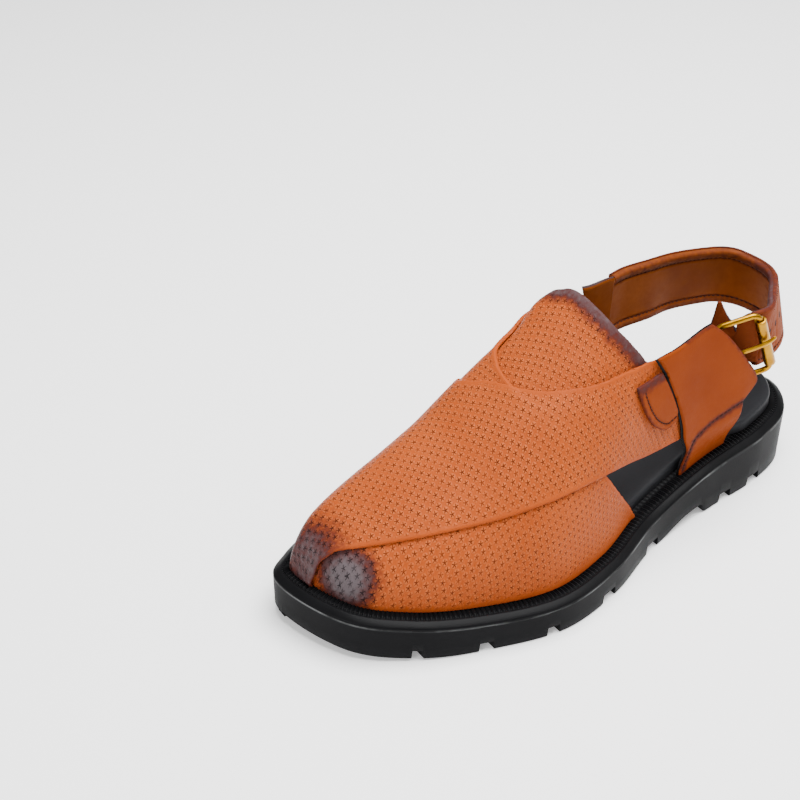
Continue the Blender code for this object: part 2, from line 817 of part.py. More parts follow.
def outward_across(path, lean=0.0):
    """Direction square to the path, level but for the lean in degrees; a steep end keeps the
    direction before it."""
    along = np.gradient(path, axis=0)
    along /= np.linalg.norm(along, axis=1)[:, None]
    across = np.cross(along, (0.0, 0.0, 1.0))
    for i in range(1, len(across)):
        if abs(along[i, 2]) > 0.35:
            across[i] = across[i - 1]
    across /= np.linalg.norm(across, axis=1)[:, None]
    lean = np.radians(np.broadcast_to(lean, len(across)))[:, None]
    return -across * np.cos(lean) + np.array((0.0, 0.0, 1.0)) * np.sin(lean)


def buckle_axes():
    """Middle of the buckle's rear bar, and its directions: up the bar, forward, outward."""
    rear_bar = np.array(BUCKLE_PLACE) * (SOLE_LENGTH, BALL_WIDTH, STRAP_HEIGHT)
    up = np.array([math.sin(BUCKLE_LEAN), 0.0, math.cos(BUCKLE_LEAN)])
    level = np.array([math.cos(BUCKLE_LEAN), 0.0, -math.sin(BUCKLE_LEAN)])
    forward = math.cos(BUCKLE_TURN) * level - math.sin(BUCKLE_TURN) * np.array([0.0, 1.0, 0.0])
    outward = np.cross(up, forward)
    return rear_bar, up, forward, outward


def build_strap(leather):
    path, shares = strap_path(STRAP, 3)
    corner = 0.45 * STRAP_THICKNESS

    def section(i):
        width, thickness = shares[i][:2]
        return soft_rectangle(STRAP_THICKNESS * thickness, STRAP_WIDTH * width, corner)

    across = outward_across(path, shares[:, 2])
    strap = tube("heel_strap", path, section, leather, across=across)
    travelled = np.concatenate([[0.0], np.cumsum(np.linalg.norm(np.diff(path, axis=0), axis=1))])
    at_bar = travelled[np.linalg.norm(path - buckle_axes()[0], axis=1).argmin()]
    for number in range(HOLE_COUNT):
        place = at_bar - (number + 1) * HOLE_PITCH
        centre = np.array([np.interp(place, travelled, column) for column in path.T])
        reach = np.array([np.interp(place, travelled, column) for column in across.T])
        reach *= STRAP_THICKNESS
        punch = [centre - reach, centre, centre + reach]
        cut(strap, tube(f"hole_{number + 1}", punch, circle(HOLE_DIAMETER / 2), None))
    return strap


def build_flap(rubber):
    path, shares = strap_path(FLAP, 2)

    def section(i):
        return soft_rectangle(FLAP_THICKNESS, FLAP_HEIGHT * shares[i][0], 0.3 * FLAP_THICKNESS)

    return tube("flap", path, section, rubber, across=outward_across(path))


def build_buckle(quarter, brass, leather):
    rear_bar, up, forward, outward = buckle_axes()
    half_height, length = BUCKLE_HEIGHT / 2 - WIRE / 2, BUCKLE_LENGTH
    front_bar = rear_bar + length * forward

    path = []
    corners = [(1, 0), (1, 1), (-1, 1), (-1, 0)]
    for number, (side, end) in enumerate(corners):
        centre = rear_bar + side * (half_height - BUCKLE_CORNER) * up
        centre = centre + (length - BUCKLE_CORNER if end else BUCKLE_CORNER) * forward
        start = math.radians((180, 90, 0, -90)[number])
        for angle in start - np.linspace(0, math.pi / 2, 5):
            spoke = math.cos(angle) * forward + math.sin(angle) * up
            path.append(centre + BUCKLE_CORNER * spoke)
    tube("buckle_frame", path, circle(WIRE / 2, 10), brass, closed=True, across=outward)

    bore = WIRE / 2 + PIN_CLEARANCE
    reach = (half_height - BUCKLE_CORNER) * up
    pipe("buckle_roller", rear_bar - reach, rear_bar + reach, bore, bore + ROLLER_WALL, brass)

    reach = LOOP_SHARE * reach
    wrap = bore + LOOP_LEATHER
    loop = pipe("buckle_loop", front_bar - reach, front_bar + reach, bore, wrap, leather)
    slot_half = (PRONG_WIRE / 2 + PIN_CLEARANCE) * up
    middle = front_bar + wrap * (outward - 0.6 * forward)
    slot_path = [middle - slot_half, middle, middle + slot_half]
    cut(loop, tube("prong_slot", slot_path, circle(1.5 * wrap), None, across=outward))

    lift = PRONG_WIRE / 2 + GAP
    root = front_bar + (WIRE / 2 + lift) * outward
    over = rear_bar + (bore + ROLLER_WALL + lift) * outward
    tip = over - (2.0 * PRONG_WIRE) * forward - 0.25 * PRONG_WIRE * outward
    prong = through([root, root + 0.35 * (over - root), over, tip], 4)
    tube("buckle_prong", prong, circle(PRONG_WIRE / 2, 10), brass, across=outward)
    sheath = circle(PRONG_WIRE / 2 + PIN_CLEARANCE, 10)
    cut(quarter, tube("prong_way", prong, sheath, None, across=outward))


def settle_origin():
    """Parents every piece to an empty that puts the box's bottom centre at the origin."""
    bpy.context.view_layer.update()
    graph = bpy.context.evaluated_depsgraph_get()
    corners = []
    pieces = [item for item in bpy.data.objects if item.type == "MESH"]
    for piece in pieces:
        if not piece.hide_render:
            corners += [tuple(v.co) for v in piece.evaluated_get(graph).data.vertices]
    low, high = np.min(corners, axis=0), np.max(corners, axis=0)
    stand = bpy.data.objects.new("chappal", None)
    bpy.context.scene.collection.objects.link(stand)
    stand.location = (-(low[0] + high[0]) / 2, -(low[1] + high[1]) / 2, -low[2])
    for piece in pieces:
        piece.parent = stand
    bpy.context.view_layer.update()


def main():
    clear_scene()
    rubber = material("rubber", (0.012, 0.012, 0.013), 0.55)
    leather = material("leather", (0.42, 0.13, 0.035), 0.42)
    plain_leather = material("plain_leather", (0.40, 0.11, 0.025), 0.38)
    lining = material("lining", (0.020, 0.020, 0.022), 0.50)
    brass = material("brass", (0.75, 0.50, 0.16), 0.28, metallic=1.0)
    build_outsole(rubber)
    build_welt(rubber)
    build_insole(lining)
    build_upper(leather)
    build_tongue(leather)
    quarter = build_quarter("quarter_outer", False, plain_leather)
    build_quarter("quarter_inner", True, plain_leather)
    build_tab(plain_leather)
    build_strap(plain_leather)
    build_flap(lining)
    build_buckle(quarter, brass, plain_leather)
    settle_origin()


if __name__ == "__main__":
    main()
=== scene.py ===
"""Peshawari chappal, left shoe: its finished look, piece by piece as a cobbler puts it together.

Metres, +X to the toe, +Y to the little toe's side. Shapes are worked out in the shoe's own
sizes, from the heel's back end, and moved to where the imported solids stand.
"""
import math

import bmesh
import bpy
import numpy as np
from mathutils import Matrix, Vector, kdtree


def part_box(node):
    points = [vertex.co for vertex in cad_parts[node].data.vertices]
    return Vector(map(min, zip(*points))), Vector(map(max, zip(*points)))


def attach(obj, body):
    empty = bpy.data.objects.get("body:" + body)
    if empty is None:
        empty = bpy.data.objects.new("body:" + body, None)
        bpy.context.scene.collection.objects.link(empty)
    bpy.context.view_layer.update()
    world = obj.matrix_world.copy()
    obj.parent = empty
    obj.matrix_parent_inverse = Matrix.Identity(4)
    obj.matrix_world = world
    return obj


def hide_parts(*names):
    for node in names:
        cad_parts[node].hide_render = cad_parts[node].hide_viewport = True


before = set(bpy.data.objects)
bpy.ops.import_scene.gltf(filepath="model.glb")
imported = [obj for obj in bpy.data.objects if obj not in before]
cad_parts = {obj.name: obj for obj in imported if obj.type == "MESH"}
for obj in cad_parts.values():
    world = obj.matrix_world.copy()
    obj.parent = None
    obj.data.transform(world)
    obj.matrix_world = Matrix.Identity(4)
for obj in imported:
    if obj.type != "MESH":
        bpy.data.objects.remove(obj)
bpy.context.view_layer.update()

# Studio: a white sweep with a large softbox overhead, a lower one before the toes and pale
# walls all round. The camera looks down on the shoe from the toe's outer side.
CAMERA_PLACE = (0.3794, 0.4298, 0.4820)
CAMERA_AIM = (0.0200, -0.1152, 0.0200)
LENS_MM = 66.64
SENSOR_MM = 36.0
FLOOR_REACH = 6.0
SWEEP_WHITE = (0.93, 0.93, 0.93, 1.0)
SWEEP_GLOW = 0.30
SWEEP_DULLNESS = 0.9
LIGHT_WHITE = (1.0, 1.0, 1.0, 1.0)
WALL_LIGHT = 0.50

# Name, place, aim, size in metres, power in watts
SOFTBOXES = [
    ("overhead", (-0.20, 0.08, 1.22), (0.0, 0.0, 0.05), 1.10, 52.0),
    ("toe_side", (1.35, 0.42, 0.72), (0.05, 0.0, 0.05), 0.60, 11.0),
    ("heel_side", (-1.00, 0.60, 0.90), (0.0, 0.0, 0.05), 0.60, 3.0),
]


def facing(place, aim):
    return (Vector(aim) - Vector(place)).to_track_quat("-Z", "Y").to_euler()


lens = bpy.data.cameras.new("studio_camera")
lens.lens = LENS_MM
lens.sensor_width = SENSOR_MM
camera = bpy.data.objects.new("studio_camera", lens)
camera.location = CAMERA_PLACE
camera.rotation_euler = facing(CAMERA_PLACE, CAMERA_AIM)
bpy.context.scene.collection.objects.link(camera)
bpy.context.scene.camera = camera

for name, place, aim, size, power in SOFTBOXES:
    light = bpy.data.lights.new(name, "AREA")
    light.shape = "DISK"
    light.size = size
    light.energy = power
    lamp = bpy.data.objects.new(name, light)
    lamp.location = place
    lamp.rotation_euler = facing(place, aim)
    bpy.context.scene.collection.objects.link(lamp)

world = bpy.data.worlds.new("studio")
world.use_nodes = True
walls = world.node_tree.nodes["Background"]
walls.inputs["Color"].default_value = LIGHT_WHITE
walls.inputs["Strength"].default_value = WALL_LIGHT
bpy.context.scene.world = world

sweep_mesh = bpy.data.meshes.new("sweep")
corners = [(-1, -1), (1, -1), (1, 1), (-1, 1)]
sweep_mesh.from_pydata([(x * FLOOR_REACH, y * FLOOR_REACH, 0.0) for x, y in corners], [], [(0, 1, 2, 3)])
sweep_paper = bpy.data.materials.new("sweep_paper")
sweep_paper.use_nodes = True
paper = sweep_paper.node_tree.nodes["Principled BSDF"].inputs
paper["Base Color"].default_value = SWEEP_WHITE
paper["Roughness"].default_value = SWEEP_DULLNESS
paper["Emission Color"].default_value = LIGHT_WHITE
paper["Emission Strength"].default_value = SWEEP_GLOW
sweep_mesh.materials.append(sweep_paper)
sweep = bpy.data.objects.new("sweep", sweep_mesh)
bpy.context.scene.collection.objects.link(sweep)

# Outsole: one block of moulded black rubber with heel, arch and toe spring. Lugs are cut into
# its sides and tread by the mould, and the upper is cemented and stitched down on its top.
SOLE_LENGTH = 0.296
BALL_WIDTH = 0.111
HEEL_HEIGHT = 0.0297
TREAD_DEPTH = 0.0046
GROOVE_WIDTH = 0.0050
SIDE_CUT_DEPTH = 0.0090
LUG_ROW_WIDTH = 0.0150
MOULD_EDGE = 0.0009
CUT_SLOPE = 0.0002
MOULD_ANGLE = 32.0
GRAIN_DEPTH = 0.0002
MIDDLE_LINES = 8
SOLE_STATIONS = 330
RUBBER_BLACK = (0.0050, 0.0050, 0.0055, 1.0)
# Painted highlight: pale grey laid in patches along the top of the side wall, for the light caught there
RIM_HIGHLIGHT_GREY = (0.120, 0.125, 0.125, 1.0)

# Share of length, outer and inner half width as shares of ball width
PLAN = [
    (0.04, 0.196, 0.228),
    (0.12, 0.286, 0.295),
    (0.25, 0.329, 0.306),
    (0.40, 0.399, 0.309),
    (0.52, 0.529, 0.351),
    (0.64, 0.587, 0.418),
    (0.76, 0.515, 0.438),
    (0.88, 0.385, 0.378),
    (0.96, 0.206, 0.272),
]
TOE_OFFSET = -0.170

# Share of length, share of heel height
RIM = [(0.0, 1.0), (0.25, 0.855), (0.42, 0.576), (0.70, 0.508), (1.0, 0.734)]
UNDERSIDE = [
    (0.0, 0.0),
    (0.262, 0.0),
    (0.275, 0.215),
    (0.31, 0.185),
    (0.385, 0.0),
    (0.80, 0.0),
    (0.90, 0.055),
    (1.0, 0.165),
]
SIDE_CUTS = [
    (0.120, 0.152),
    (0.197, 0.225),
    (0.389, 0.421),
    (0.526, 0.557),
    (0.653, 0.675),
    (0.760, 0.783),
    (0.864, 0.880),
]
CROSS_GROOVES = [0.092, 0.150, 0.208, 0.455, 0.540, 0.625, 0.715, 0.805]
TREADS = [(0.085, 0.216), (0.445, 0.815)]

# Side wall: share of its height, how far it leans in, how much painted highlight it gets
WALL = [(0.35, 0.0, 0.0), (0.80, 0.0, 0.0), (0.93, 0.0, 0.0), (0.97, 0.0, 0.8), (1.0, 0.0004, 1.0)]


def pick(table, x, column=1):
    """Value of a table's column at x, on a smooth curve that never overshoots its rows."""
    rows = np.array(table, float)
    at, value = rows[:, 0], rows[:, column]
    x = np.asarray(x, float)
    step = np.diff(at)
    slope = np.diff(value) / step
    tangent = np.empty(len(at))
    tangent[0], tangent[-1] = slope[0], slope[-1]
    for i in range(1, len(at) - 1):
        before, after = slope[i - 1], slope[i]
        if before * after <= 0:
            tangent[i] = 0.0
            continue
        total = step[i - 1] + step[i]
        tangent[i] = 3 * total / ((total + step[i]) / before + (total + step[i - 1]) / after)
    k = np.clip(np.searchsorted(at, x) - 1, 0, len(at) - 2)
    u = np.clip((x - at[k]) / step[k], 0.0, 1.0)
    rise = u * u * (3 - 2 * u)
    lead = u * (1 - u) ** 2 * step[k] * tangent[k]
    tail = u * u * (u - 1) * step[k] * tangent[k + 1]
    return value[k] + rise * (value[k + 1] - value[k]) + lead + tail


def through(points, per_span, closed=False):
    """Points on a centripetal curve through the given ones."""
    points = np.array(points, float)
    count = len(points)
    if closed:
        padded = np.vstack([points[-1], points, points[0], points[1]])
        spans = count
    else:
        padded = np.vstack([2 * points[0] - points[1], points, 2 * points[-1] - points[-2]])
        spans = count - 1
    curve = []
    for i in range(spans):
        p0, p1, p2, p3 = padded[i:i + 4]
        a, b, c = (math.sqrt(np.linalg.norm(q - p)) for p, q in ((p0, p1), (p1, p2), (p2, p3)))
        lead = p2 - p1 + b * ((p1 - p0) / a - (p2 - p0) / (a + b))
        tail = p2 - p1 + b * ((p3 - p2) / c - (p3 - p1) / (b + c))
        for u in np.arange(per_span) / per_span:
            rise = u * u * (3 - 2 * u)
            curve.append(p1 + rise * (p2 - p1) + u * (1 - u) ** 2 * lead + u * u * (u - 1) * tail)
    if not closed:
        curve.append(points[-1])
    return np.array(curve)


def unit(vectors):
    return vectors / np.linalg.norm(vectors, axis=-1)[..., None]


def inward_of(curve, reach=1):
    """Direction in plan from each point of a closed curve to its inside."""
    along = unit(np.roll(curve, -reach, 0) - np.roll(curve, reach, 0))
    return np.column_stack([along[:, 1], -along[:, 0]])


def outline(margin):
    """The sole's outline in plan, moved inward by a margin: a number or a function of share."""
    outer = [(share * SOLE_LENGTH, out * BALL_WIDTH) for share, out, _ in PLAN]
    inner = [(share * SOLE_LENGTH, -side * BALL_WIDTH) for share, _, side in reversed(PLAN)]
    corners = [(0.0, 0.0)] + outer + [(SOLE_LENGTH, TOE_OFFSET * BALL_WIDTH)] + inner
    curve = through(corners, 24, closed=True)
    amount = margin(curve[:, 0] / SOLE_LENGTH) if callable(margin) else margin
    return curve + inward_of(curve) * np.reshape(amount, (-1, 1))


def sides(margin):
    """Both sides of the outline, each from heel to toe."""
    curve = outline(margin)
    curve = np.roll(curve, -curve[:, 0].argmin(), axis=0)
    toe = curve[:, 0].argmax()
    return curve[:toe + 1], np.vstack([curve[toe:], curve[:1]])[::-1]


def rim(share):
    return HEEL_HEIGHT * pick(RIM, np.clip(share, 0, 1))


def underside(share):
    return HEEL_HEIGHT * pick(UNDERSIDE, np.clip(share, 0, 1))


def ease(value):
    value = np.clip(value, 0, 1)
    return value * value * (3 - 2 * value)


def round_off(distance, radius):
    """0 at an edge, rising in a quarter circle to 1 at the radius from it."""
    return np.sqrt(1 - (1 - np.clip(distance / radius, 0, 1)) ** 2)


def across_sole(x, margins, middle):
    """Grid of plan points: for each x a line of points from the outer to the inner side, one
    at each margin and the rest spread over the middle."""
    outer, inner = [], []
    for margin in margins:
        out_line, in_line = sides(margin)
        outer.append(np.interp(x, out_line[:, 0], out_line[:, 1]))
        inner.append(np.interp(x, in_line[:, 0], in_line[:, 1]))
    spread = np.linspace(0, 1, middle + 2)[1:-1]
    between = [outer[-1] + (inner[-1] - outer[-1]) * s for s in spread]
    y = np.stack(outer + between + inner[::-1], axis=1)
    return np.stack([np.broadcast_to(x[:, None], y.shape), y], axis=-1)


def grid_faces(rows, columns, start=0, loop=False):
    """Quads between neighbouring points of a grid; a loop joins its last column to its first."""
    faces = []
    for i in range(rows - 1):
        for j in range(columns if loop else columns - 1):
            k = (j + 1) % columns
            a, b = start + i * columns, start + (i + 1) * columns
            faces.append((a + j, a + k, b + k, b + j))
    return faces


def sewn_in(name, points, faces, finish, slot, stands_for=(), smooth_angle=50.0, **values):
    """Adds a closed mesh as a piece of the shoe. values are numbers or vectors for each point,
    which its material reads."""
    mesh = bpy.data.meshes.new(name)
    mesh.from_pydata((np.asarray(points) + STAND).tolist(), [], faces)
    for key, value in values.items():
        value = np.asarray(value, np.float32)
        kind, field = ("FLOAT", "value") if value.ndim == 1 else ("FLOAT_VECTOR", "vector")
        layer = mesh.attributes.new(key, kind, "POINT")
        layer.data.foreach_set(field, value.ravel())
    shape = bmesh.new()
    shape.from_mesh(mesh)
    bmesh.ops.remove_doubles(shape, verts=shape.verts[:], dist=2e-6)
    bmesh.ops.dissolve_degenerate(shape, edges=shape.edges[:], dist=1e-6)
    loose = [v for v in shape.verts if not v.link_faces]
    bmesh.ops.delete(shape, geom=loose, context="VERTS")
    bmesh.ops.recalc_face_normals(shape, faces=shape.faces[:])
    if shape.calc_volume(signed=True) < 0:
        bmesh.ops.reverse_faces(shape, faces=shape.faces[:])
    shape.to_mesh(mesh)
    shape.free()
    mesh.shade_smooth()
    mesh.set_sharp_from_angle(angle=math.radians(smooth_angle))
    mesh.materials.append(finish)
    made = bpy.data.objects.new(name, mesh)
    bpy.context.scene.collection.objects.link(made)
    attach(made, "root")
    if stands_for:
        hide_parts(*stands_for)
    return made


def new_finish(name, roughness):
    """Empty finish with its shader, a function that adds nodes and one that links them to it."""
    finish = bpy.data.materials.new(name)
    finish.use_nodes = True
    tree = finish.node_tree
    shader = tree.nodes["Principled BSDF"]
    shader.inputs["Roughness"].default_value = roughness

    def node(kind, inputs=(), **settings):
        made = tree.nodes.new("ShaderNode" + kind)
        for key, value in settings.items():
            setattr(made, key, value)
        for key, value in dict(inputs).items():
            if isinstance(value, bpy.types.NodeSocket):
                tree.links.new(value, made.inputs[key])
            else:
                made.inputs[key].default_value = value
        return made

    def link(socket, name):
        tree.links.new(socket, shader.inputs[name])

    return finish, shader, node, link


def noise(node, place, scale, detail, **settings):
    return node("TexNoise", {"Vector": place, "Scale": scale, "Detail": detail, **settings}).outputs["Fac"]


def bumped(node, height, strength, distance, normal=None):
    """Socket of a surface raised by the height, over another bumped one if that is given."""
    inputs = {"Height": height, "Strength": strength, "Distance": distance}
    if normal:
        inputs["Normal"] = normal
    return node("Bump", inputs).outputs["Normal"]


def mixed(node, factor, first, second):
    """Socket of a colour between two, each a colour or a socket."""
    return node("Mix", {0: factor, 6: first, 7: second}, data_type="RGBA").outputs[2]


def ramp(node, value, low, high, start=0.0, end=1.0, kind="LINEAR"):
    """Socket that goes from start to end while the value goes from low to high."""
    ends = {"Value": value, "From Min": low, "From Max": high, "To Min": start, "To Max": end}
    return node("MapRange", ends, interpolation_type=kind).outputs[0]


def shaded(colour, share):
    return [share * c for c in colour[:3]] + [1.0]


def rubber_finish(name, colour, roughness, grain, gloss=0.028):
    """Black rubber or thread: cloudy tone, fine pits, and a patchy grey painted highlight where a point is
    marked for it.
    """
    finish, shader, node, link = new_finish(name, roughness)
    shader.inputs["Specular IOR Level"].default_value = gloss
    place = node("TexCoord").outputs["Object"]
    cloud = noise(node, place, 45.0, 5.0)
    fine = noise(node, place, 1600.0, 2.0)
    tone = mixed(node, cloud, shaded(colour, 0.75), shaded(colour, 1.35))
    # Painted highlight: patchy grey mixed in along the side wall's top edge
    scuff = node("Attribute", attribute_name="scuff").outputs["Fac"]
    patchy = ramp(node, cloud, 0.42, 0.62, 0.15)
    rim_highlight_mask = node("Math", {0: scuff, 1: patchy}, operation="MULTIPLY").outputs[0]
    link(mixed(node, rim_highlight_mask, tone, RIM_HIGHLIGHT_GREY), "Base Color")
    link(ramp(node, cloud, 0.0, 1.0, roughness - 0.08, roughness + 0.10), "Roughness")
    link(bumped(node, fine, grain, GRAIN_DEPTH), "Normal")
    return finish


OUTER_MOST = outline(0.0)[:, 1].max()
STAND = np.array((
    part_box("outsole")[0][0] - outline(0.0)[:, 0].min(),
    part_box("outsole")[1][1] - OUTER_MOST,
    0.0))

moulded_rubber = rubber_finish("moulded_rubber", RUBBER_BLACK, 0.46, 0.25)

first_x, last_x = sides(0.0)[0][0, 0], sides(0.0)[0][-1, 0]
heel_to_toe = first_x + (last_x - first_x) * 0.5 * (1 - np.cos(np.linspace(0, math.pi, SOLE_STATIONS)))
half_groove = 0.5 * GROOVE_WIDTH / SOLE_LENGTH
groove_spans = [(middle - half_groove, middle + half_groove) for middle in CROSS_GROOVES]
walls_of_cuts = [
    end * SOLE_LENGTH + side * CUT_SLOPE
    for span in SIDE_CUTS + groove_spans + TREADS for end in span for side in (-1, 1)]
stations = np.unique(np.concatenate([heel_to_toe, walls_of_cuts]))
lugs_from, lugs_to = LUG_ROW_WIDTH, LUG_ROW_WIDTH + GROOVE_WIDTH
margins = [0.0, 0.5 * MOULD_EDGE, MOULD_EDGE, 0.5 * SIDE_CUT_DEPTH]
margins += [edge + side * CUT_SLOPE for edge in (SIDE_CUT_DEPTH, lugs_from, lugs_to) for side in (-1, 1)]
plan = across_sole(stations, margins, MIDDLE_LINES)
share = plan[..., 0] / SOLE_LENGTH
columns = plan.shape[1]
inset = np.array(margins + [lugs_to + 2 * CUT_SLOPE] * MIDDLE_LINES + margins[::-1])[None, :]


def between(value, low, high, slope):
    """1 from low to high, falling to 0 over the slope on each side."""
    return ease((value - low + slope) / (2 * slope)) * ease((high + slope - value) / (2 * slope))


slope_share = CUT_SLOPE / SOLE_LENGTH
cut_depth = np.zeros(share.shape)
for low, high in SIDE_CUTS:
    beside = ease((SIDE_CUT_DEPTH + CUT_SLOPE - inset) / (2 * CUT_SLOPE))
    cut_depth = np.maximum(cut_depth, between(share, low, high, slope_share) * beside)
for low, high in TREADS:
    row = between(inset, lugs_from, lugs_to, CUT_SLOPE)
    cut_depth = np.maximum(cut_depth, between(share, low, high, slope_share) * row)
for low, high in groove_spans:
    inside = ease((inset - lugs_from + CUT_SLOPE) / (2 * CUT_SLOPE))
    cut_depth = np.maximum(cut_depth, between(share, low, high, slope_share) * inside)
edge_lift = MOULD_EDGE * (1 - round_off(inset, MOULD_EDGE))
bottom = np.dstack([plan, underside(share) + TREAD_DEPTH * cut_depth + edge_lift])

ring_plan = np.vstack([bottom[:, 0], bottom[::-1, -1]])
low, high = ring_plan[:, 2], rim(ring_plan[:, 0] / SOLE_LENGTH)
wall = []
for height, inward, _ in WALL:
    line = ring_plan.copy()
    line[:, 2] = low + (high - low) * height
    line[:, 1] *= 1 - inward / (0.5 * BALL_WIDTH)
    wall.append(line)
rows = len(stations)
points = [bottom.reshape(-1, 3)] + wall
faces = grid_faces(rows, columns)
edge_ring = [i * columns for i in range(rows)] + [i * columns + columns - 1 for i in range(rows - 1, -1, -1)]
size = len(edge_ring)
rings = [edge_ring] + [[rows * columns + n * size + i for i in range(size)] for n in range(len(wall))]
for low, high in zip(rings, rings[1:]):
    for i in range(size):
        j = (i + 1) % size
        faces.append((low[i], low[j], high[j], high[i]))
top = rings[-1]
faces += [(top[i], top[i + 1], top[size - i - 2], top[size - i - 1]) for i in range(rows - 1)]
# Painted highlight: only the side wall's top rows get it
scuff = np.concatenate([np.zeros(len(points[0]))] + [np.full(size, mark) for _, _, mark in WALL])
sewn_in("outsole_rubber", np.vstack(points), faces, moulded_rubber, "rubber", ["outsole"], MOULD_ANGLE,
        scuff=scuff)

# Welt: a black rubber strip laid round the sole's top, with a ribbed band that the upper is
# stitched into and a smooth lip that slopes down to the sole's edge.
GAP = 0.0003
WELT_RISE = 0.0030
RIB_PITCH = 0.0023
RIB_DEPTH = 0.0010
WELT_BLACK = (0.0036, 0.0036, 0.0040, 1.0)
POINTS_PER_RIB = 6
RIB_ANGLE = 60.0

# Margin inside the edge, share of the welt's rise, share of the ribs' depth
WELT_PROFILE = [
    (0.0000, 0.00, 0.0),
    (0.0000, 0.22, 0.0),
    (0.0004, 0.36, 0.0),
    (0.0016, 0.58, 0.0),
    (0.0030, 0.84, 0.0),
    (0.0040, 0.93, 0.0),
    (0.0044, 0.80, 0.0),
    (0.0047, 0.88, 1.0),
    (0.0052, 1.02, 1.0),
    (0.0062, 1.07, 1.0),
    (0.0075, 1.07, 1.0),
    (0.0090, 1.02, 1.0),
    (0.0102, 0.97, 1.0),
    (0.0106, 0.92, 0.0),
    (0.0150, 0.92, 0.0),
    (0.0150, 0.00, 0.0),
]


def deck(share):
    """Height of the welt's flat top, on which upper and insole sit."""
    return rim(share) + GAP + WELT_RISE


def lengths_along(path):
    """Distance travelled from a path's start to each of its points."""
    return np.concatenate([[0.0], np.cumsum(np.linalg.norm(np.diff(path, axis=0), axis=1))])


loop = outline(0.0)
loop = np.vstack([loop, loop[:1]])
travel = lengths_along(loop)
ribs = round(travel[-1] / RIB_PITCH)
at = np.linspace(0, travel[-1], ribs * POINTS_PER_RIB, endpoint=False)
edge = np.column_stack([np.interp(at, travel, loop[:, 0]), np.interp(at, travel, loop[:, 1])])
inward = inward_of(edge, POINTS_PER_RIB // 2)
rib = 0.5 + 0.5 * np.cos(2 * math.pi * np.arange(len(at)) / POINTS_PER_RIB)

rings = []
for margin, height, ribbed in WELT_PROFILE:
    ring = edge + inward * margin
    base = rim(edge[:, 0] / SOLE_LENGTH) + GAP
    rings.append(np.column_stack([ring, base + WELT_RISE * height - RIB_DEPTH * ribbed * rib]))
welt_points = np.stack(rings, axis=1)
count, size = welt_points.shape[:2]
welt_points = np.concatenate([welt_points, welt_points[:1]])
welt_rubber = rubber_finish("welt_rubber", WELT_BLACK, 0.36, 0.35, gloss=0.045)
sewn_in("welt_strip", welt_points.reshape(-1, 3), grid_faces(count + 1, size, loop=True),
        welt_rubber, "rubber", ["welt"], RIB_ANGLE)

# Insole: a padded footbed with a satin black cover turned over its rounded edge, glued into
# the shoe on the welt's flat top.
INSOLE_THICKNESS = 0.0070
INSOLE_HEEL_MARGIN = 0.0085
INSOLE_EDGE = 0.0022
INSOLE_DISH = 0.0006
LAST_MARGIN = 0.0108
LEATHER = 0.0018
INSOLE_NARROWS = (0.15, 0.20)
INSOLE = [(0.0, 1.0), (0.18, 0.95), (0.42, 0.60), (1.0, 0.40)]
SATIN_BLACK = (0.0120, 0.0122, 0.0140, 1.0)
SATIN_GLOSS = 0.10
INSOLE_LINES = 24


def insole_margin(share):
    start, end = INSOLE_NARROWS
    blend = np.clip((share - start) / (end - start), 0.0, 1.0)
    return INSOLE_HEEL_MARGIN + (LAST_MARGIN + LEATHER - INSOLE_HEEL_MARGIN) * blend


def satin_finish(name, colour, roughness):
    """Smooth black cover leather with a soft sheen and fine pores."""
    finish, shader, node, link = new_finish(name, roughness)
    shader.inputs["Specular IOR Level"].default_value = SATIN_GLOSS
    place = node("TexCoord").outputs["Object"]
    cloud = noise(node, place, 30.0, 4.0)
    pores = node("TexVoronoi", {"Vector": place, "Scale": 1100.0}).outputs["Distance"]
    link(mixed(node, cloud, shaded(colour, 0.8), shaded(colour, 1.25)), "Base Color")
    link(bumped(node, pores, 0.12, GRAIN_DEPTH), "Normal")
    return finish


satin_black = satin_finish("satin_black", SATIN_BLACK, 0.5)
rounding = [INSOLE_EDGE * s for s in (0.0, 0.1, 0.3, 0.6, 1.0, 2.0)]
x_line = sides(insole_margin)[0]
stations = x_line[0, 0] + (x_line[-1, 0] - x_line[0, 0]) * 0.5 * (1 - np.cos(np.linspace(0, math.pi, 160)))


def shifted(extra):
    return lambda share: insole_margin(share) + extra


plan = across_sole(stations, [shifted(extra) for extra in rounding], INSOLE_LINES)
share = plan[..., 0] / SOLE_LENGTH
inset = np.array(rounding + [BALL_WIDTH] * INSOLE_LINES + rounding[::-1])[None, :]
fall = INSOLE_EDGE * (1 - round_off(inset, INSOLE_EDGE))
off_middle = np.linspace(-1, 1, plan.shape[1])[None, :]
dish = INSOLE_DISH * (1 - off_middle ** 2) ** 2
thick = INSOLE_THICKNESS * pick(INSOLE, np.clip(share, 0, 1))
top_z = deck(share) + GAP + thick - np.minimum(fall, 0.8 * thick) - dish
upper_side = np.dstack([plan, top_z])
lower_side = np.dstack([plan, deck(share) + GAP])


def two_sided(lower, upper, faces):
    """Points and faces of a closed sheet: both its sides, and a wall along each open edge."""
    count = len(lower)
    ways = {(a, b) for face in faces for a, b in zip(face, face[1:] + face[:1])}
    open_edges = [(a, b) for a, b in ways if (b, a) not in ways]
    below = [tuple(k + count for k in reversed(face)) for face in faces]
    walls = [(b, a, a + count, b + count) for a, b in open_edges]
    return np.vstack([upper, lower]), list(faces) + below + walls


rows, columns = share.shape
points, faces = two_sided(lower_side.reshape(-1, 3), upper_side.reshape(-1, 3), grid_faces(rows, columns))
sewn_in("insole_cover", points, faces, satin_black, "lining", ["insole"])

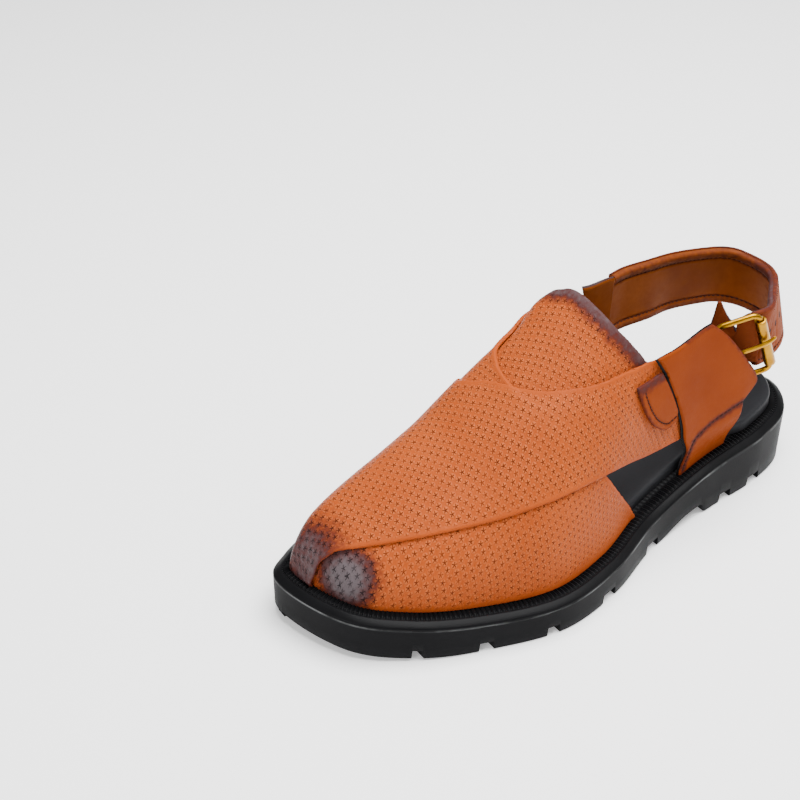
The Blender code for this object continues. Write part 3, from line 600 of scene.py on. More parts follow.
# Bands of the upper: two wide straps of cow leather, embossed with small stars, waxed and
# rubbed dark at toe and edges. They are drawn over the last crosswise, the inner one first,
# with their edges turned in, and pulled under at the welt.
INSTEP_RISE = 0.1060
BAND_STEP = 0.0012
EDGE_ROUND = 0.0008
TAN = (0.318, 0.060, 0.0115, 1.0)
TAN_DEEP = (0.250, 0.042, 0.0060, 1.0)
MAROON = (0.052, 0.012, 0.010, 1.0)
# Wax colour, lightened to grey so that it also paints the highlight on the waxed toe
WAX_GREY_AND_HIGHLIGHT = (0.080, 0.064, 0.068, 1.0)
# Near-black: dark wax in the stars' pits, and painted shade inside the punched holes
PIT_WAX_AND_HOLE_SHADE = (0.005, 0.003, 0.004, 1.0)
STAR_PIT = (0.045, 0.008, 0.003, 1.0)
# Lighter ring round each star: painted glints
STAR_RIM_GLINT = (0.520, 0.135, 0.040, 1.0)
STAR_PITCH = 0.0051
STAR_ROW = 0.0026
STAR_RADIUS = 0.00150
STAR_ARM = 0.00008
STAR_SOFT = 0.00024
STAR_DRIFT = 0.0009
STAR_DEPTH = 0.0005

# The last: share of length, crest height as a share of instep rise, crest's side offset as a
# share of ball width, squareness of the outer and of the inner half of the section
LAST = [
    (0.12, 1.70, -0.020, 3.0, 3.0),
    (0.30, 1.42, -0.045, 2.9, 2.9),
    (0.38, 1.18, -0.050, 2.8, 2.8),
    (0.43, 1.070, -0.060, 2.6, 3.1),
    (0.46, 1.030, -0.070, 2.4, 3.3),
    (0.51, 0.935, -0.080, 2.2, 3.4),
    (0.585, 0.775, -0.090, 2.2, 3.4),
    (0.635, 0.665, -0.100, 2.2, 3.2),
    (0.72, 0.503, -0.105, 2.3, 2.6),
    (0.80, 0.389, -0.110, 2.35, 2.4),
    (0.87, 0.292, -0.125, 2.4, 2.4),
    (0.92, 0.217, -0.140, 2.4, 2.4),
]

# Front edge of the outer band: share of length, turn over the last (0 outer feather, 1 inner);
# then where it turns down over the toe: turn, share of length
BAND_FRONT = [
    (0.320, 0.052),
    (0.440, 0.100),
    (0.530, 0.147),
    (0.640, 0.199),
    (0.780, 0.253),
    (0.900, 0.304),
    (0.925, 0.318),
    (1.000, 0.330),
]
BAND_TOE = [(0.0, 0.957), (0.10, 0.956), (0.20, 0.952), (0.28, 0.945), (0.32, 0.925), (0.34, 0.890)]

# Rear edges: turn from the side of the band's tail, share of length for the outer and the
# inner band, which crosses under it the other way
BAND_REAR = [
    (0.000, 0.295, 0.295),
    (0.060, 0.305, 0.305),
    (0.190, 0.372, 0.375),
    (0.210, 0.396, 0.396),
    (0.263, 0.479, 0.480),
    (0.315, 0.536, 0.545),
    (0.370, 0.577, 0.578),
    (0.425, 0.600, 0.588),
    (0.480, 0.615, 0.594),
    (0.560, 0.630, 0.602),
    (0.650, 0.636, 0.600),
    (0.750, 0.612, 0.575),
    (0.860, 0.545, 0.524),
    (0.917, 0.500, 0.492),
    (0.970, 0.453, 0.453),
    (1.000, 0.431, 0.431),
]
LAST_SIDES = sides(LAST_MARGIN)
LAST_TIP = LAST_SIDES[0][-1, 0] / SOLE_LENGTH


def last_point(share, turn):
    """Point on the last: share of length, and turn from outer feather (0) to inner (1)."""
    share, turn = np.broadcast_arrays(np.asarray(share, float), np.asarray(turn, float))
    share = np.minimum(share, LAST_TIP)
    x = share * SOLE_LENGTH
    out_y = np.interp(x, LAST_SIDES[0][:, 0], LAST_SIDES[0][:, 1])
    in_y = np.interp(x, LAST_SIDES[1][:, 0], LAST_SIDES[1][:, 1])
    rows = [(-math.sqrt(LAST_TIP - row[0]), row[1]) for row in LAST] + [(0.0, 0.0)]
    crest = INSTEP_RISE * pick(rows, -np.sqrt(LAST_TIP - share))
    middle = np.clip(BALL_WIDTH * pick(LAST, share, 2), in_y, out_y)
    angle = math.pi * turn
    c, s = np.cos(angle), np.sin(angle)
    outside = c >= 0
    power = np.where(outside, pick(LAST, share, 3), pick(LAST, share, 4))
    radius = (np.abs(c) ** power + np.abs(s) ** power) ** (-1 / power)
    half = np.where(outside, out_y - middle, middle - in_y)
    y = middle + half * radius * c
    z = deck(share) + GAP + crest * radius * s
    return np.stack([x, y, z], axis=-1)


def last_normal(share, turn):
    """Outward normal of the last, level at the feather line."""
    share = np.minimum(np.asarray(share, float), LAST_TIP - 2e-4)
    turn = np.asarray(turn, float)
    step = 1e-4
    along = last_point(share + step, turn) - last_point(share - step, turn)
    before, after = np.clip(turn - step, 0, 1), np.clip(turn + step, 0, 1)
    around = last_point(share, after) - last_point(share, before)
    normal = np.cross(around, along)
    level = np.clip(np.minimum(turn, 1 - turn) / 0.02, 0.0, 1.0)
    normal[..., 2] *= level
    return unit(normal)


def on_last(share, turn, height):
    return last_point(share, turn) + last_normal(share, turn) * np.asarray(height)[..., None]


def over_side(share, turn):
    return turn - pick(BAND_FRONT, share)


def over_toe(share, turn):
    return share - pick(BAND_TOE, turn)


def front_of_band(share, turn):
    return np.maximum(over_side(share, turn), over_toe(share, turn))


def front_edge():
    """Shares and turns along the band's front edge, from its tail to the toe's feather."""
    share = np.linspace(0.29, LAST_TIP, 500)
    turn = pick(BAND_FRONT, share)
    kept = over_toe(share, turn) <= 0
    toe_turn = np.linspace(0.34, 0.0, 160)
    toe_share = pick(BAND_TOE, toe_turn)
    below = over_side(toe_share, toe_turn) <= 0
    return np.concatenate([share[kept], toe_share[below]]), np.concatenate([turn[kept], toe_turn[below]])


def rear_edge(column):
    turn = np.linspace(0, 1, 500)
    return pick(BAND_REAR, turn, column), turn


def nearest(points, line):
    """Distance in metres from each point to a line of points, and which one is nearest."""
    tree = kdtree.KDTree(len(line))
    for number, point in enumerate(line):
        tree.insert(point, number)
    tree.balance()
    found = [tree.find(point) for point in points]
    return np.array([hit[2] for hit in found]), np.array([hit[1] for hit in found])


def metres_from(line_share, line_turn, side_of):
    """Function that gives the distance to a line on the last, in metres along the leather,
    with the sign of side_of, which is zero on the line."""
    line = last_point(line_share, line_turn)
    gaps = np.linalg.norm(np.diff(line, axis=0), axis=1)
    steps = np.concatenate([[gaps[0]], gaps, [gaps[-1]]])

    def distance(share, turn):
        metres, near = nearest(last_point(share, turn), line)
        metres = np.sqrt(np.maximum(metres ** 2 - (0.2 * steps[near]) ** 2, 0.0))
        return np.where(side_of(share, turn) >= 0, metres, -metres)

    return distance


front_line = front_edge()
outer_front = metres_from(*front_line, front_of_band)
outer_rear = metres_from(*rear_edge(1), lambda share, turn: share - pick(BAND_REAR, turn, 1))
inner_front = metres_from(
    front_line[0], 1 - front_line[1], lambda share, turn: front_of_band(share, 1 - turn))
inner_rear_share, inner_rear_turn = rear_edge(2)
inner_rear = metres_from(
    inner_rear_share, 1 - inner_rear_turn, lambda share, turn: share - pick(BAND_REAR, 1 - turn, 2))
EDGE_CUTS = [0.00012, 0.00035, 0.0008, 0.0016]


def cut_leather(shares, turns, edges, cuts=EDGE_CUTS):
    """Flat pattern on the last inside all the edges, with extra lines along them for a round
    edge. Gives shares, turns, faces."""
    flat = bmesh.new()
    grid = [[flat.verts.new((share, turn, 0.0)) for turn in turns] for share in shares]
    for low, high in zip(grid, grid[1:]):
        for j in range(len(turns) - 1):
            flat.faces.new((low[j], high[j], high[j + 1], low[j + 1]))
    for offset in [0.0] + list(cuts):
        for edge in edges:
            places = np.array([(v.co.x, v.co.y) for v in flat.verts])
            for vert, height in zip(flat.verts, edge(places[:, 0], places[:, 1]) - offset):
                vert.co.z = height
            everything = flat.verts[:] + flat.edges[:] + flat.faces[:]
            bmesh.ops.bisect_plane(
                flat, geom=everything, dist=1.5e-5, plane_co=(0, 0, 0), plane_no=(0, 0, 1),
                clear_inner=offset == 0.0)
    flat.verts.index_update()
    places = np.array([(v.co.x, v.co.y) for v in flat.verts])
    faces = [tuple(v.index for v in face.verts) for face in flat.faces]
    flat.free()
    return places[:, 0], places[:, 1], faces


def rounded_edge(inside, base, top, radius=EDGE_ROUND):
    """Heights of a sheet's lower and upper side, closing in a round edge where inside is 0."""
    fullness = round_off(inside, radius)
    middle = base + 0.45 * (top - base)
    return middle - (middle - base) * fullness, middle + (top - middle) * fullness


NET = 90
MIDDLE = NET // 2
STAR_GRID = (np.linspace(0.29, LAST_TIP, NET), np.linspace(0, 1, NET))
star_net = last_point(STAR_GRID[0][:, None], STAR_GRID[1][None, :])
girth = np.array([lengths_along(row) for row in star_net])
girth -= girth[:, MIDDLE:MIDDLE + 1]
crest_steps = np.linalg.norm(np.diff(star_net, axis=0), axis=2)[:, MIDDLE - 7:MIDDLE + 1].mean(axis=1)
length = np.tile(np.concatenate([[0.0], np.cumsum(crest_steps)])[:, None], NET)


def laid_flat(share, turn):
    """Where a point of the last lies, in metres, when the leather is laid flat."""
    i = np.interp(share, STAR_GRID[0], np.arange(NET))
    j = np.interp(turn, STAR_GRID[1], np.arange(NET))
    i0, j0 = np.minimum(i.astype(int), NET - 2), np.minimum(j.astype(int), NET - 2)
    a, b = i - i0, j - j0

    def read(table):
        return ((table[i0, j0] * (1 - a) + table[i0 + 1, j0] * a) * (1 - b)
                + (table[i0, j0 + 1] * (1 - a) + table[i0 + 1, j0 + 1] * a) * b)

    return read(length), read(girth)


def star_places(share, turn, degrees, weight):
    along, around = laid_flat(share, turn)
    angle = math.radians(degrees)
    u = along * math.cos(angle) - around * math.sin(angle)
    v = along * math.sin(angle) + around * math.cos(angle)
    return np.stack([u, v, weight], axis=-1)


def bell(distance, width):
    """1 where the distance is 0, fading on both sides over the width."""
    return np.exp(-(distance / width) ** 2)


def over_instep(share, turn):
    """How far the leather is pushed up where the foot's instep rounds it."""
    return INSTEP_DOME * bell(share - 0.492, 0.036) * bell(turn - 0.71, 0.075)


def near_spot(share, turn, spot):
    """A spot's strength round its place on the last, falling evenly to 0 a little beyond its
    reach."""
    spot_share, spot_turn, reach, strength = spot
    metres = np.linalg.norm(last_point(share, turn) - last_point(spot_share, spot_turn), axis=-1)
    return strength * np.clip(1.28 - 0.90 * metres / reach, 0, 1)


def leather_finish(name, colour, deep, roughness, stars=0.0, grain=0.35, gloss=0.03, holes=()):
    """Waxed leather: drifting tone, pores and fine creases, dark wax by each point's wax value,
    whose grey also paints a highlight and which on some pieces carries painted shade, and where
    wanted the stars' pits ringed with painted glints and punched pin holes filled with near-black
    painted shade."""
    finish, shader, node, link = new_finish(name, roughness)
    shader.inputs["Specular IOR Level"].default_value = gloss

    def maths(operation, a, b=0.0):
        return node("Math", {0: a, 1: b}, operation=operation).outputs[0]

    def swing(value, amount):
        """How far a value lies from a half, times the amount."""
        return maths("MULTIPLY", maths("SUBTRACT", value, 0.5), amount)

    def from_star(shift):
        """Distance and angle from the nearest star's centre, in one of the two grids of stars."""
        offsets = []
        for axis, pitch in (("X", STAR_PITCH), ("Y", 2 * STAR_ROW)):
            moved = maths("ADD", chart.outputs[axis], swing(drift.outputs[axis], STAR_DRIFT))
            offsets.append(swing(maths("FRACT", maths("ADD", maths("DIVIDE", moved, pitch), shift)), pitch))
        right, up = offsets
        metres = maths("SQRT", maths("ADD", maths("MULTIPLY", right, right), maths("MULTIPLY", up, up)))
        return metres, maths("ADD", maths("ARCTAN2", right, up), 2 * math.pi)

    place = node("TexCoord").outputs["Object"]
    cloud = noise(node, place, 26.0, 5.0, Roughness=0.6)
    speckle = noise(node, place, 420.0, 3.0)
    pores = node("TexVoronoi", {"Vector": place, "Scale": 1500.0}).outputs["Distance"]
    wrinkle = node("TexVoronoi", {"Vector": place, "Scale": 620.0}, feature="DISTANCE_TO_EDGE")
    base = mixed(node, ramp(node, cloud, 0.3, 0.7), deep, colour)
    base = mixed(node, ramp(node, speckle, 0.35, 0.65, 0.0, 0.16), base, deep)

    # Each point's wax, which on some pieces also carries painted shade and the toe's painted highlight
    burnish = node("Attribute", attribute_name="burnish").outputs["Fac"]
    smoky = maths("ADD", maths("ADD", burnish, swing(cloud, 0.35)), swing(speckle, 0.42))
    reddening = ramp(node, smoky, 0.12, 0.60, kind="SMOOTHSTEP")
    darkening = ramp(node, smoky, 0.45, 0.95, kind="SMOOTHSTEP")
    base = mixed(node, reddening, base, MAROON)
    # Wax darkens the leather, and its grey also paints a highlight
    base = mixed(node, darkening, base, WAX_GREY_AND_HIGHLIGHT)

    wrinkled = maths("MULTIPLY", maths("MINIMUM", wrinkle.outputs["Distance"], 0.12), 3.0)
    relief = maths("ADD", maths("MULTIPLY", pores, 0.5), wrinkled)
    relief = maths("ADD", relief, maths("MULTIPLY", speckle, 0.35))
    for hole, size in holes:
        # Punched holes are painted: a near-black disc of painted shade, pressed in by the bump
        metres = node("VectorMath", {0: place, 1: hole}, operation="DISTANCE").outputs["Value"]
        punched = ramp(node, metres, 0.75 * size, 1.2 * size, 1.0, 0.0, "SMOOTHSTEP")
        base = mixed(node, punched, base, PIT_WAX_AND_HOLE_SHADE)
        relief = maths("SUBTRACT", relief, maths("MULTIPLY", punched, 6.0))
    normal = bumped(node, relief, grain, 0.00022)
    if stars:
        chart = node("SeparateXYZ", {"Vector": node("Attribute", attribute_name="chart").outputs["Vector"]})
        drift = node("TexNoise", {"Vector": place, "Scale": 150.0, "Detail": 1.0}).outputs["Color"]
        drift = node("SeparateXYZ", {"Vector": drift})
        both, halos = [], []
        for shift in (0.0, 0.5):
            radius, angle = from_star(shift)
            from_arm = maths("MULTIPLY", radius, maths("SINE", maths("PINGPONG", angle, math.pi / 5)))
            thin = ramp(node, from_arm, STAR_ARM, STAR_SOFT, 1.0, 0.0, "SMOOTHSTEP")
            short = ramp(node, radius, 0.7 * STAR_RADIUS, STAR_RADIUS, 1.0, 0.0, "SMOOTHSTEP")
            both.append(maths("MULTIPLY", thin, short))
            halos.append(ramp(node, radius, 0.8 * STAR_RADIUS, 1.25 * STAR_RADIUS, 1.0, 0.0, "SMOOTHSTEP"))
        weight = maths("MULTIPLY", chart.outputs["Z"], ramp(node, drift.outputs["Z"], 0.3, 0.6, 0.55))
        pit = maths("MULTIPLY", maths("MAXIMUM", *both), weight)
        halo = maths("MULTIPLY", maths("MAXIMUM", *halos), weight)
        bare = maths("MULTIPLY", maths("SUBTRACT", 1.0, reddening), 0.36)
        # Painted glints: a lighter ring round each star's pit, where the leather is not waxed
        base = mixed(node, maths("MULTIPLY", maths("SUBTRACT", halo, pit), bare), base, STAR_RIM_GLINT)
        bottom_of_pit = mixed(node, reddening, STAR_PIT, PIT_WAX_AND_HOLE_SHADE)
        base = mixed(node, maths("MULTIPLY", pit, 0.85), base, bottom_of_pit)
        relief = maths("SUBTRACT", maths("MULTIPLY", halo, 0.45), pit)
        normal = bumped(node, relief, stars, STAR_DEPTH, normal)
    link(base, "Base Color")
    rough = ramp(node, speckle, 0.3, 0.7, roughness - 0.06, roughness + 0.08)
    link(maths("SUBTRACT", rough, maths("MULTIPLY", darkening, 0.12)), "Roughness")
    link(normal, "Normal")
    return finish


def on_the_last(name, share, turn, heights, faces, finish, slot, solid, burnish, chart=None):
    """Sews in a sheet of leather that lies on the last between two heights."""
    lower, upper = (on_last(share, turn, height).reshape(-1, 3) for height in heights)
    points, faces = two_sided(lower, upper, faces)
    values = {"burnish": np.tile(np.ravel(burnish), 2)}
    if chart is not None:
        values["chart"] = np.tile(chart, (2, 1))
    sewn_in(name, points, faces, finish, slot, [solid], **values)


star_leather = leather_finish("star_leather", TAN, TAN_DEEP, 0.42, stars=1.0, gloss=0.04)

BANDS_FROM = 0.293
STATIONS = BANDS_FROM + (LAST_TIP - BANDS_FROM) * np.sin(np.linspace(0, math.pi / 2, 190))
TURNS = np.linspace(0, 1, 150)
INNER_STARS_TURNED = 45.0
OUTER_STARS_TURNED = -18.0
STAR_FADE = 0.0018
TOE_LIFT = 0.0016
FOLD_SWELL = 0.00035
REAR_ROLL = 0.0005
INSTEP_DOME = 0.0045
PRESS_MARK = 0.0003
PRESS_WIDTH = 0.0022
# Painted shade on the inner band along the outer band's front edge
BAND_EDGE_SHADE = 0.22

# Wax on the toe: share of length, turn, reach in metres, strength
OUTER_TOE_WAX = (0.955, 0.340, 0.0225, 0.70)
# The inner toe's spot is strong enough to reach the full grey: real wax and a painted highlight
INNER_TOE_WAX_AND_HIGHLIGHT = (0.931, 0.186, 0.0154, 0.94)
INNER_TOE_BLUSH = (0.975, 0.215, 0.0150, 0.48)


def starred(inside, turn, plain_edge):
    """How deep the stars are pressed: not at all along a plain edge or near the feather line."""
    return ease((inside - plain_edge) / STAR_FADE) * ease((np.minimum(turn, 1 - turn) - 0.008) / 0.02)


share, turn, flat_faces = cut_leather(STATIONS, TURNS, [inner_front, inner_rear])
rear = inner_rear(share, turn)
inside = np.minimum(inner_front(share, turn), rear)
low, high = rounded_edge(inside, 0.0, LEATHER)
high = high + REAR_ROLL * bell(rear - 0.0012, 0.0011)
low, high = low + over_instep(share, turn), high + over_instep(share, turn)
hidden = outer_front(share, turn)
high = high - PRESS_MARK * ease(1 - np.abs(hidden + 0.0010) / PRESS_WIDTH)
burnish = np.maximum(near_spot(share, turn, INNER_TOE_WAX_AND_HIGHLIGHT), near_spot(share, turn, INNER_TOE_BLUSH))
# Painted shade along the outer band's front edge, over the toe wax
burnish = np.maximum(burnish, BAND_EDGE_SHADE * ease(1 - np.abs(hidden) / 0.003))
chart = star_places(share, turn, INNER_STARS_TURNED, starred(inside, turn, 0.0015))
on_the_last("inner_band", share, turn, (low, high), flat_faces, star_leather, "embossed_leather", "upper",
            burnish, chart)

share, turn, flat_faces = cut_leather(STATIONS, TURNS, [outer_front, outer_rear])
front, rear = outer_front(share, turn), outer_rear(share, turn)
inside = np.minimum(front, rear)
beneath = np.minimum(inner_front(share, turn), inner_rear(share, turn))
carried = ease(beneath / 0.003 + 0.5)
seat = 0.00015 + (LEATHER + 0.00005) * carried
crown = np.full(share.shape, LEATHER + BAND_STEP) - BAND_STEP * (1 - carried) * ease(1 - rear / 0.012)
near_toe = ease((share - 0.905) / 0.03) * ease(1 - front / 0.010)
lift = TOE_LIFT * near_toe * ease(turn / 0.10)
fold = FOLD_SWELL * bell(front - 0.0011, 0.0010) * ease((share - 0.50) / 0.15)
heights = rounded_edge(inside, np.minimum(seat, crown - 0.0011) + lift, crown + lift + fold)
burnish = near_spot(share, turn, OUTER_TOE_WAX) * ease(0.62 + front / 0.0024)
chart = star_places(share, turn, OUTER_STARS_TURNED, starred(inside, turn, 0.0012))
on_the_last("outer_band", share, turn, heights, flat_faces, star_leather, "embossed_leather", "upper",
            burnish, chart)

# Tongue: one piece of the same embossed leather under both bands, cemented to them. Its rear
# edge is turned in and waxed dark, and lies plain for a finger's breadth.
TONGUE_REAR = [
    (0.160, 0.385),
    (0.217, 0.407),
    (0.270, 0.430),
    (0.330, 0.449),
    (0.420, 0.460),
    (0.500, 0.462),
    (0.580, 0.465),
    (0.630, 0.469),
    (0.680, 0.468),
    (0.730, 0.452),
    (0.790, 0.416),
    (0.840, 0.390),
]
TONGUE_FRONT = 0.660
TONGUE_WAX_WIDTH = 0.0070
TONGUE_WAX = 0.64
TONGUE_ROUND = 0.0012

(TONGUE_OUTER, REAR_AT_OUTER), (TONGUE_INNER, _) = TONGUE_REAR[0], TONGUE_REAR[-1]
tongue_turn = np.linspace(TONGUE_OUTER, TONGUE_INNER, 300)
tongue_rear = metres_from(
    pick(TONGUE_REAR, tongue_turn), tongue_turn, lambda share, turn: share - pick(TONGUE_REAR, turn))
tongue_share = np.linspace(REAR_AT_OUTER, TONGUE_FRONT, 200)
outer_side = metres_from(tongue_share, np.full(200, TONGUE_OUTER), lambda share, turn: turn - TONGUE_OUTER)
inner_side = metres_from(tongue_share, np.full(200, TONGUE_INNER), lambda share, turn: TONGUE_INNER - turn)
share, turn, flat_faces = cut_leather(
    np.linspace(REAR_AT_OUTER - 0.002, TONGUE_FRONT, 100),
    np.linspace(TONGUE_OUTER - 0.002, TONGUE_INNER + 0.002, 120),
    [tongue_rear, outer_side, inner_side])
rear = tongue_rear(share, turn)
beside = np.minimum(outer_side(share, turn), inner_side(share, turn))
low, high = rounded_edge(np.minimum(rear, beside), -GAP - LEATHER, -GAP, TONGUE_ROUND)
heights = low + over_instep(share, turn), high + over_instep(share, turn)
burnish = TONGUE_WAX * np.clip(1.30 - rear / (1.45 * TONGUE_WAX_WIDTH), 0, 1)
chart = star_places(share, turn, OUTER_STARS_TURNED, ease((rear - 0.45 * TONGUE_WAX_WIDTH) / 0.003))
on_the_last("tongue_leather", share, turn, heights, flat_faces, star_leather, "embossed_leather", "tongue",
            burnish, chart)

# Quarters: smooth waxed leather, lined with black, that hold the bands' tails and climb to the
# heel strap on the inner side and the buckle on the outer one. Their edges are sewn down in
# dark thread and cemented under the insole.
QUARTER_LEATHER = 0.0024
QUARTER_FLARE = 0.0040
QUARTER_CLIMB = 0.045
QUARTER_FLARES = (0.19, 0.31)
LINING_SHARE = 0.36
INNER_RISE = 0.035
TOP_SWAY = 0.0044
LINING_PROUD = 0.0006
SEAM_GROOVE = 0.00045
SEAM_WIDTH = 0.0008
QUARTER_ROUND = 0.0007
SEAM_WAX = 0.52
REAR_WAX = 0.40
INNER_EDGE_WAX = 0.72
STITCH_PITCH = 0.0026
STITCH_LENGTH = 0.0020
THREAD = 0.00032
PLAIN_TAN = (0.192, 0.034, 0.0042, 1.0)
PLAIN_DEEP = (0.150, 0.024, 0.0028, 1.0)
THREAD_DARK = (0.030, 0.012, 0.010, 1.0)
LINING_BLACK = (0.012, 0.012, 0.013, 1.0)
CARAMEL = (0.200, 0.048, 0.0060, 1.0)
CARAMEL_DEEP = (0.120, 0.025, 0.0030, 1.0)

# Row from the bottom, front edge's share of length and turn, rear edge's share and turn for
# the outer quarter, then for the inner one
QUARTER = [
    (0, 0.315, 0.000, 0.200, 0.000, 0.200, 0.000),
    (1, 0.313, 0.030, 0.197, 0.028, 0.207, 0.028),
    (2, 0.327, 0.058, 0.196, 0.052, 0.240, 0.050),
    (3, 0.332, 0.075, 0.168, 0.068, 0.318, 0.066),
    (4, 0.350, 0.115, 0.202, 0.100, 0.325, 0.100),
    (5, 0.375, 0.165, 0.243, 0.134, 0.325, 0.140),
    (6, 0.400, 0.215, 0.286, 0.168, 0.325, 0.190),
]

# Seams: rows and columns of the quarter, as shares from bottom to top and front to rear
OUTER_SEAMS = [
    [(0.02, 0.060), (0.10, 0.058), (0.19, 0.070), (0.235, 0.125), (0.262, 0.250), (0.292, 0.440),
     (0.318, 0.640), (0.338, 0.840), (0.352, 0.985)],
]
INNER_SEAMS = [
    [(0.02, 0.10), (0.40, 0.10), (0.80, 0.10), (0.92, 0.13), (0.94, 0.30), (0.94, 0.97)],
    [(0.02, 0.17), (0.40, 0.17), (0.78, 0.18), (0.86, 0.24), (0.88, 0.40), (0.88, 0.97)],
    [(0.50, 0.62), (0.86, 0.62)],
]


def band_tail_height():
    """Height over the last of what rests on a band's tail."""
    return LEATHER + BAND_STEP + GAP


def quarter_base(share, turn, flare):
    up = ease(np.minimum(turn, 1 - turn) / QUARTER_CLIMB)
    back = ease((QUARTER_FLARES[1] - share) / (QUARTER_FLARES[1] - QUARTER_FLARES[0]))
    return GAP + (band_tail_height() - GAP) * up + flare * back * up


def on_quarter(row, column, inner_side):
    """Share and turn at a row (0 bottom, 1 top) and column (0 front, 1 rear) of a quarter."""
    row = np.asarray(row, float) * QUARTER[-1][0]
    rear_column = 5 if inner_side else 3
    front_share, front_turn = pick(QUARTER, row, 1), pick(QUARTER, row, 2)
    if inner_side:
        front_turn = front_turn + INNER_RISE * ease(row - QUARTER[-1][0] + 1)
    rear_share, rear_turn = pick(QUARTER, row, rear_column), pick(QUARTER, row, rear_column + 1)
    share = front_share + (rear_share - front_share) * column
    turn = front_turn + (rear_turn - front_turn) * column
    if not inner_side:
        sway = 0.7 * bell(column, 0.15) - np.sin(math.pi * np.clip((column - 0.2) / 0.8, 0, 1))
        turn = turn + TOP_SWAY * sway * ease(row - QUARTER[-1][0] + 1.5)
    return share, 1 - turn if inner_side else turn


def crowded(count, edge=(0.002, 0.007, 0.016, 0.03)):
    """0 to 1 with steps that crowd together at both ends."""
    middle = np.linspace(edge[-1], 1 - edge[-1], count)
    return np.concatenate([[0.0], edge[:-1], middle, 1 - np.array(edge[-2::-1]), [1.0]])


def evenly(path, step):
    """The same line with its points a step apart."""
    travelled = lengths_along(path)
    at = np.linspace(0, travelled[-1], max(2, round(travelled[-1] / step) + 1))
    return np.stack([np.interp(at, travelled, column) for column in path.T], axis=1)


def stitches(path, outward, pitch):
    """Points and faces of a row of stitches: short rounded rods whose ends dive in."""
    spots = evenly(path, pitch)
    near = nearest(spots, path)[1]
    points, faces = [], []
    turns = np.linspace(0, 2 * math.pi, 6, endpoint=False)
    for number in range(len(spots) - 1):
        centre = 0.5 * (spots[number] + spots[number + 1])
        along = unit(spots[number + 1] - spots[number])
        up = outward[near[number]]
        side = unit(np.cross(along, up))
        start = len(points)
        for t in (-1.0, -0.8, -0.35, 0.35, 0.8, 1.0):
            radius = THREAD * math.sqrt(max(1 - t ** 4, 0.02))
            middle = centre + along * t * 0.5 * STITCH_LENGTH + up * THREAD * (0.55 - 1.3 * t * t)
            points += [middle + radius * (math.cos(a) * side + math.sin(a) * up) for a in turns]
        faces += grid_faces(6, 6, start, loop=True)
        faces += [tuple(range(start, start + 6)), tuple(range(start + 30, start + 36))]
    return np.array(points), faces


def stitched_along(line, outward, pitch=STITCH_PITCH, sunk=0.0, step=0.0005):
    """Stitches along a line whose points each have an outward direction."""
    path = evenly(line, step)
    outward = outward[nearest(path, line)[1]]
    return stitches(path - sunk * outward, outward, pitch)


def joined(parts):
    points, faces, base = [], [], 0
    for part_points, part_faces in parts:
        faces += [tuple(k + base for k in face) for face in part_faces]
        points.append(part_points)
        base += len(part_points)
    return np.vstack(points), faces


plain_leather = leather_finish("plain_leather", PLAIN_TAN, PLAIN_DEEP, 0.48, grain=0.25, gloss=0.02)
caramel_lining = leather_finish("caramel_lining", CARAMEL, CARAMEL_DEEP, 0.50, grain=0.20)
black_lining = rubber_finish("black_lining", LINING_BLACK, 0.5, 0.3)
waxed_thread = rubber_finish("waxed_thread", THREAD_DARK, 0.55, 0.5)


def quarter_pieces(side, inner_side, seams, lining):
    rows, columns = crowded(70), crowded(56)
    share, turn = on_quarter(rows[:, None], columns[None, :], inner_side)
    flare = 0.0 if inner_side else QUARTER_FLARE
    base = quarter_base(share, turn, flare)
    top = base + QUARTER_LEATHER
    surface = on_last(share, turn, top)
    flat = surface.reshape(-1, 3)
    rim_line = evenly(np.vstack([surface[:, 0], surface[-1], surface[::-1, -1]]), 0.0006)
    inside = np.maximum(nearest(flat, rim_line)[0] - 0.0003, 0).reshape(share.shape)
    inside[:, 0] = inside[:, -1] = 0
    inside[-1] = 0
    from_seam = np.full(share.shape, 1.0)
    sewn = []
    for seam in seams:
        line = through(seam, 12)
        seam_share, seam_turn = on_quarter(line[:, 0], line[:, 1], inner_side)
        seam_top = quarter_base(seam_share, seam_turn, flare) + QUARTER_LEATHER
        path = on_last(seam_share, seam_turn, seam_top - 0.5 * SEAM_GROOVE)
        from_seam = np.minimum(from_seam, nearest(flat, evenly(path, 0.0005))[0].reshape(share.shape))
        sewn.append(stitched_along(path, last_normal(seam_share, seam_turn)))
    burnish = SEAM_WAX * bell(from_seam, 0.0030)
    burnish = np.maximum(burnish, REAR_WAX * ease(1 - inside / 0.0028) * (columns > 0.5))
    if inner_side:
        burnish = np.maximum(burnish, INNER_EDGE_WAX * ease(1 - inside / 0.0050))
    flat_faces = grid_faces(*share.shape)
    lined = base + LINING_SHARE * QUARTER_LEATHER
    low, high = rounded_edge(inside, lined, top, QUARTER_ROUND)
    heights = low, high - SEAM_GROOVE * bell(from_seam, SEAM_WIDTH)
    on_the_last(f"quarter_{side}_leather", share, turn, heights, flat_faces, plain_leather, "plain_leather",
                f"quarter_{side}", burnish)
    proud = LINING_PROUD / SOLE_LENGTH * (1 - columns) * ease(rows[:, None] / 0.1)
    heights = rounded_edge(inside, base, lined - 0.00005, 0.0005)
    on_the_last(f"quarter_{side}_lining", share + proud, turn, heights, flat_faces, lining, "lining",
                f"quarter_{side}", np.zeros(share.shape))
    sewn_in(f"quarter_{side}_stitches", *joined(sewn), waxed_thread, "plain_leather")


quarter_pieces("outer", False, OUTER_SEAMS, black_lining)
quarter_pieces("inner", True, INNER_SEAMS, caramel_lining)

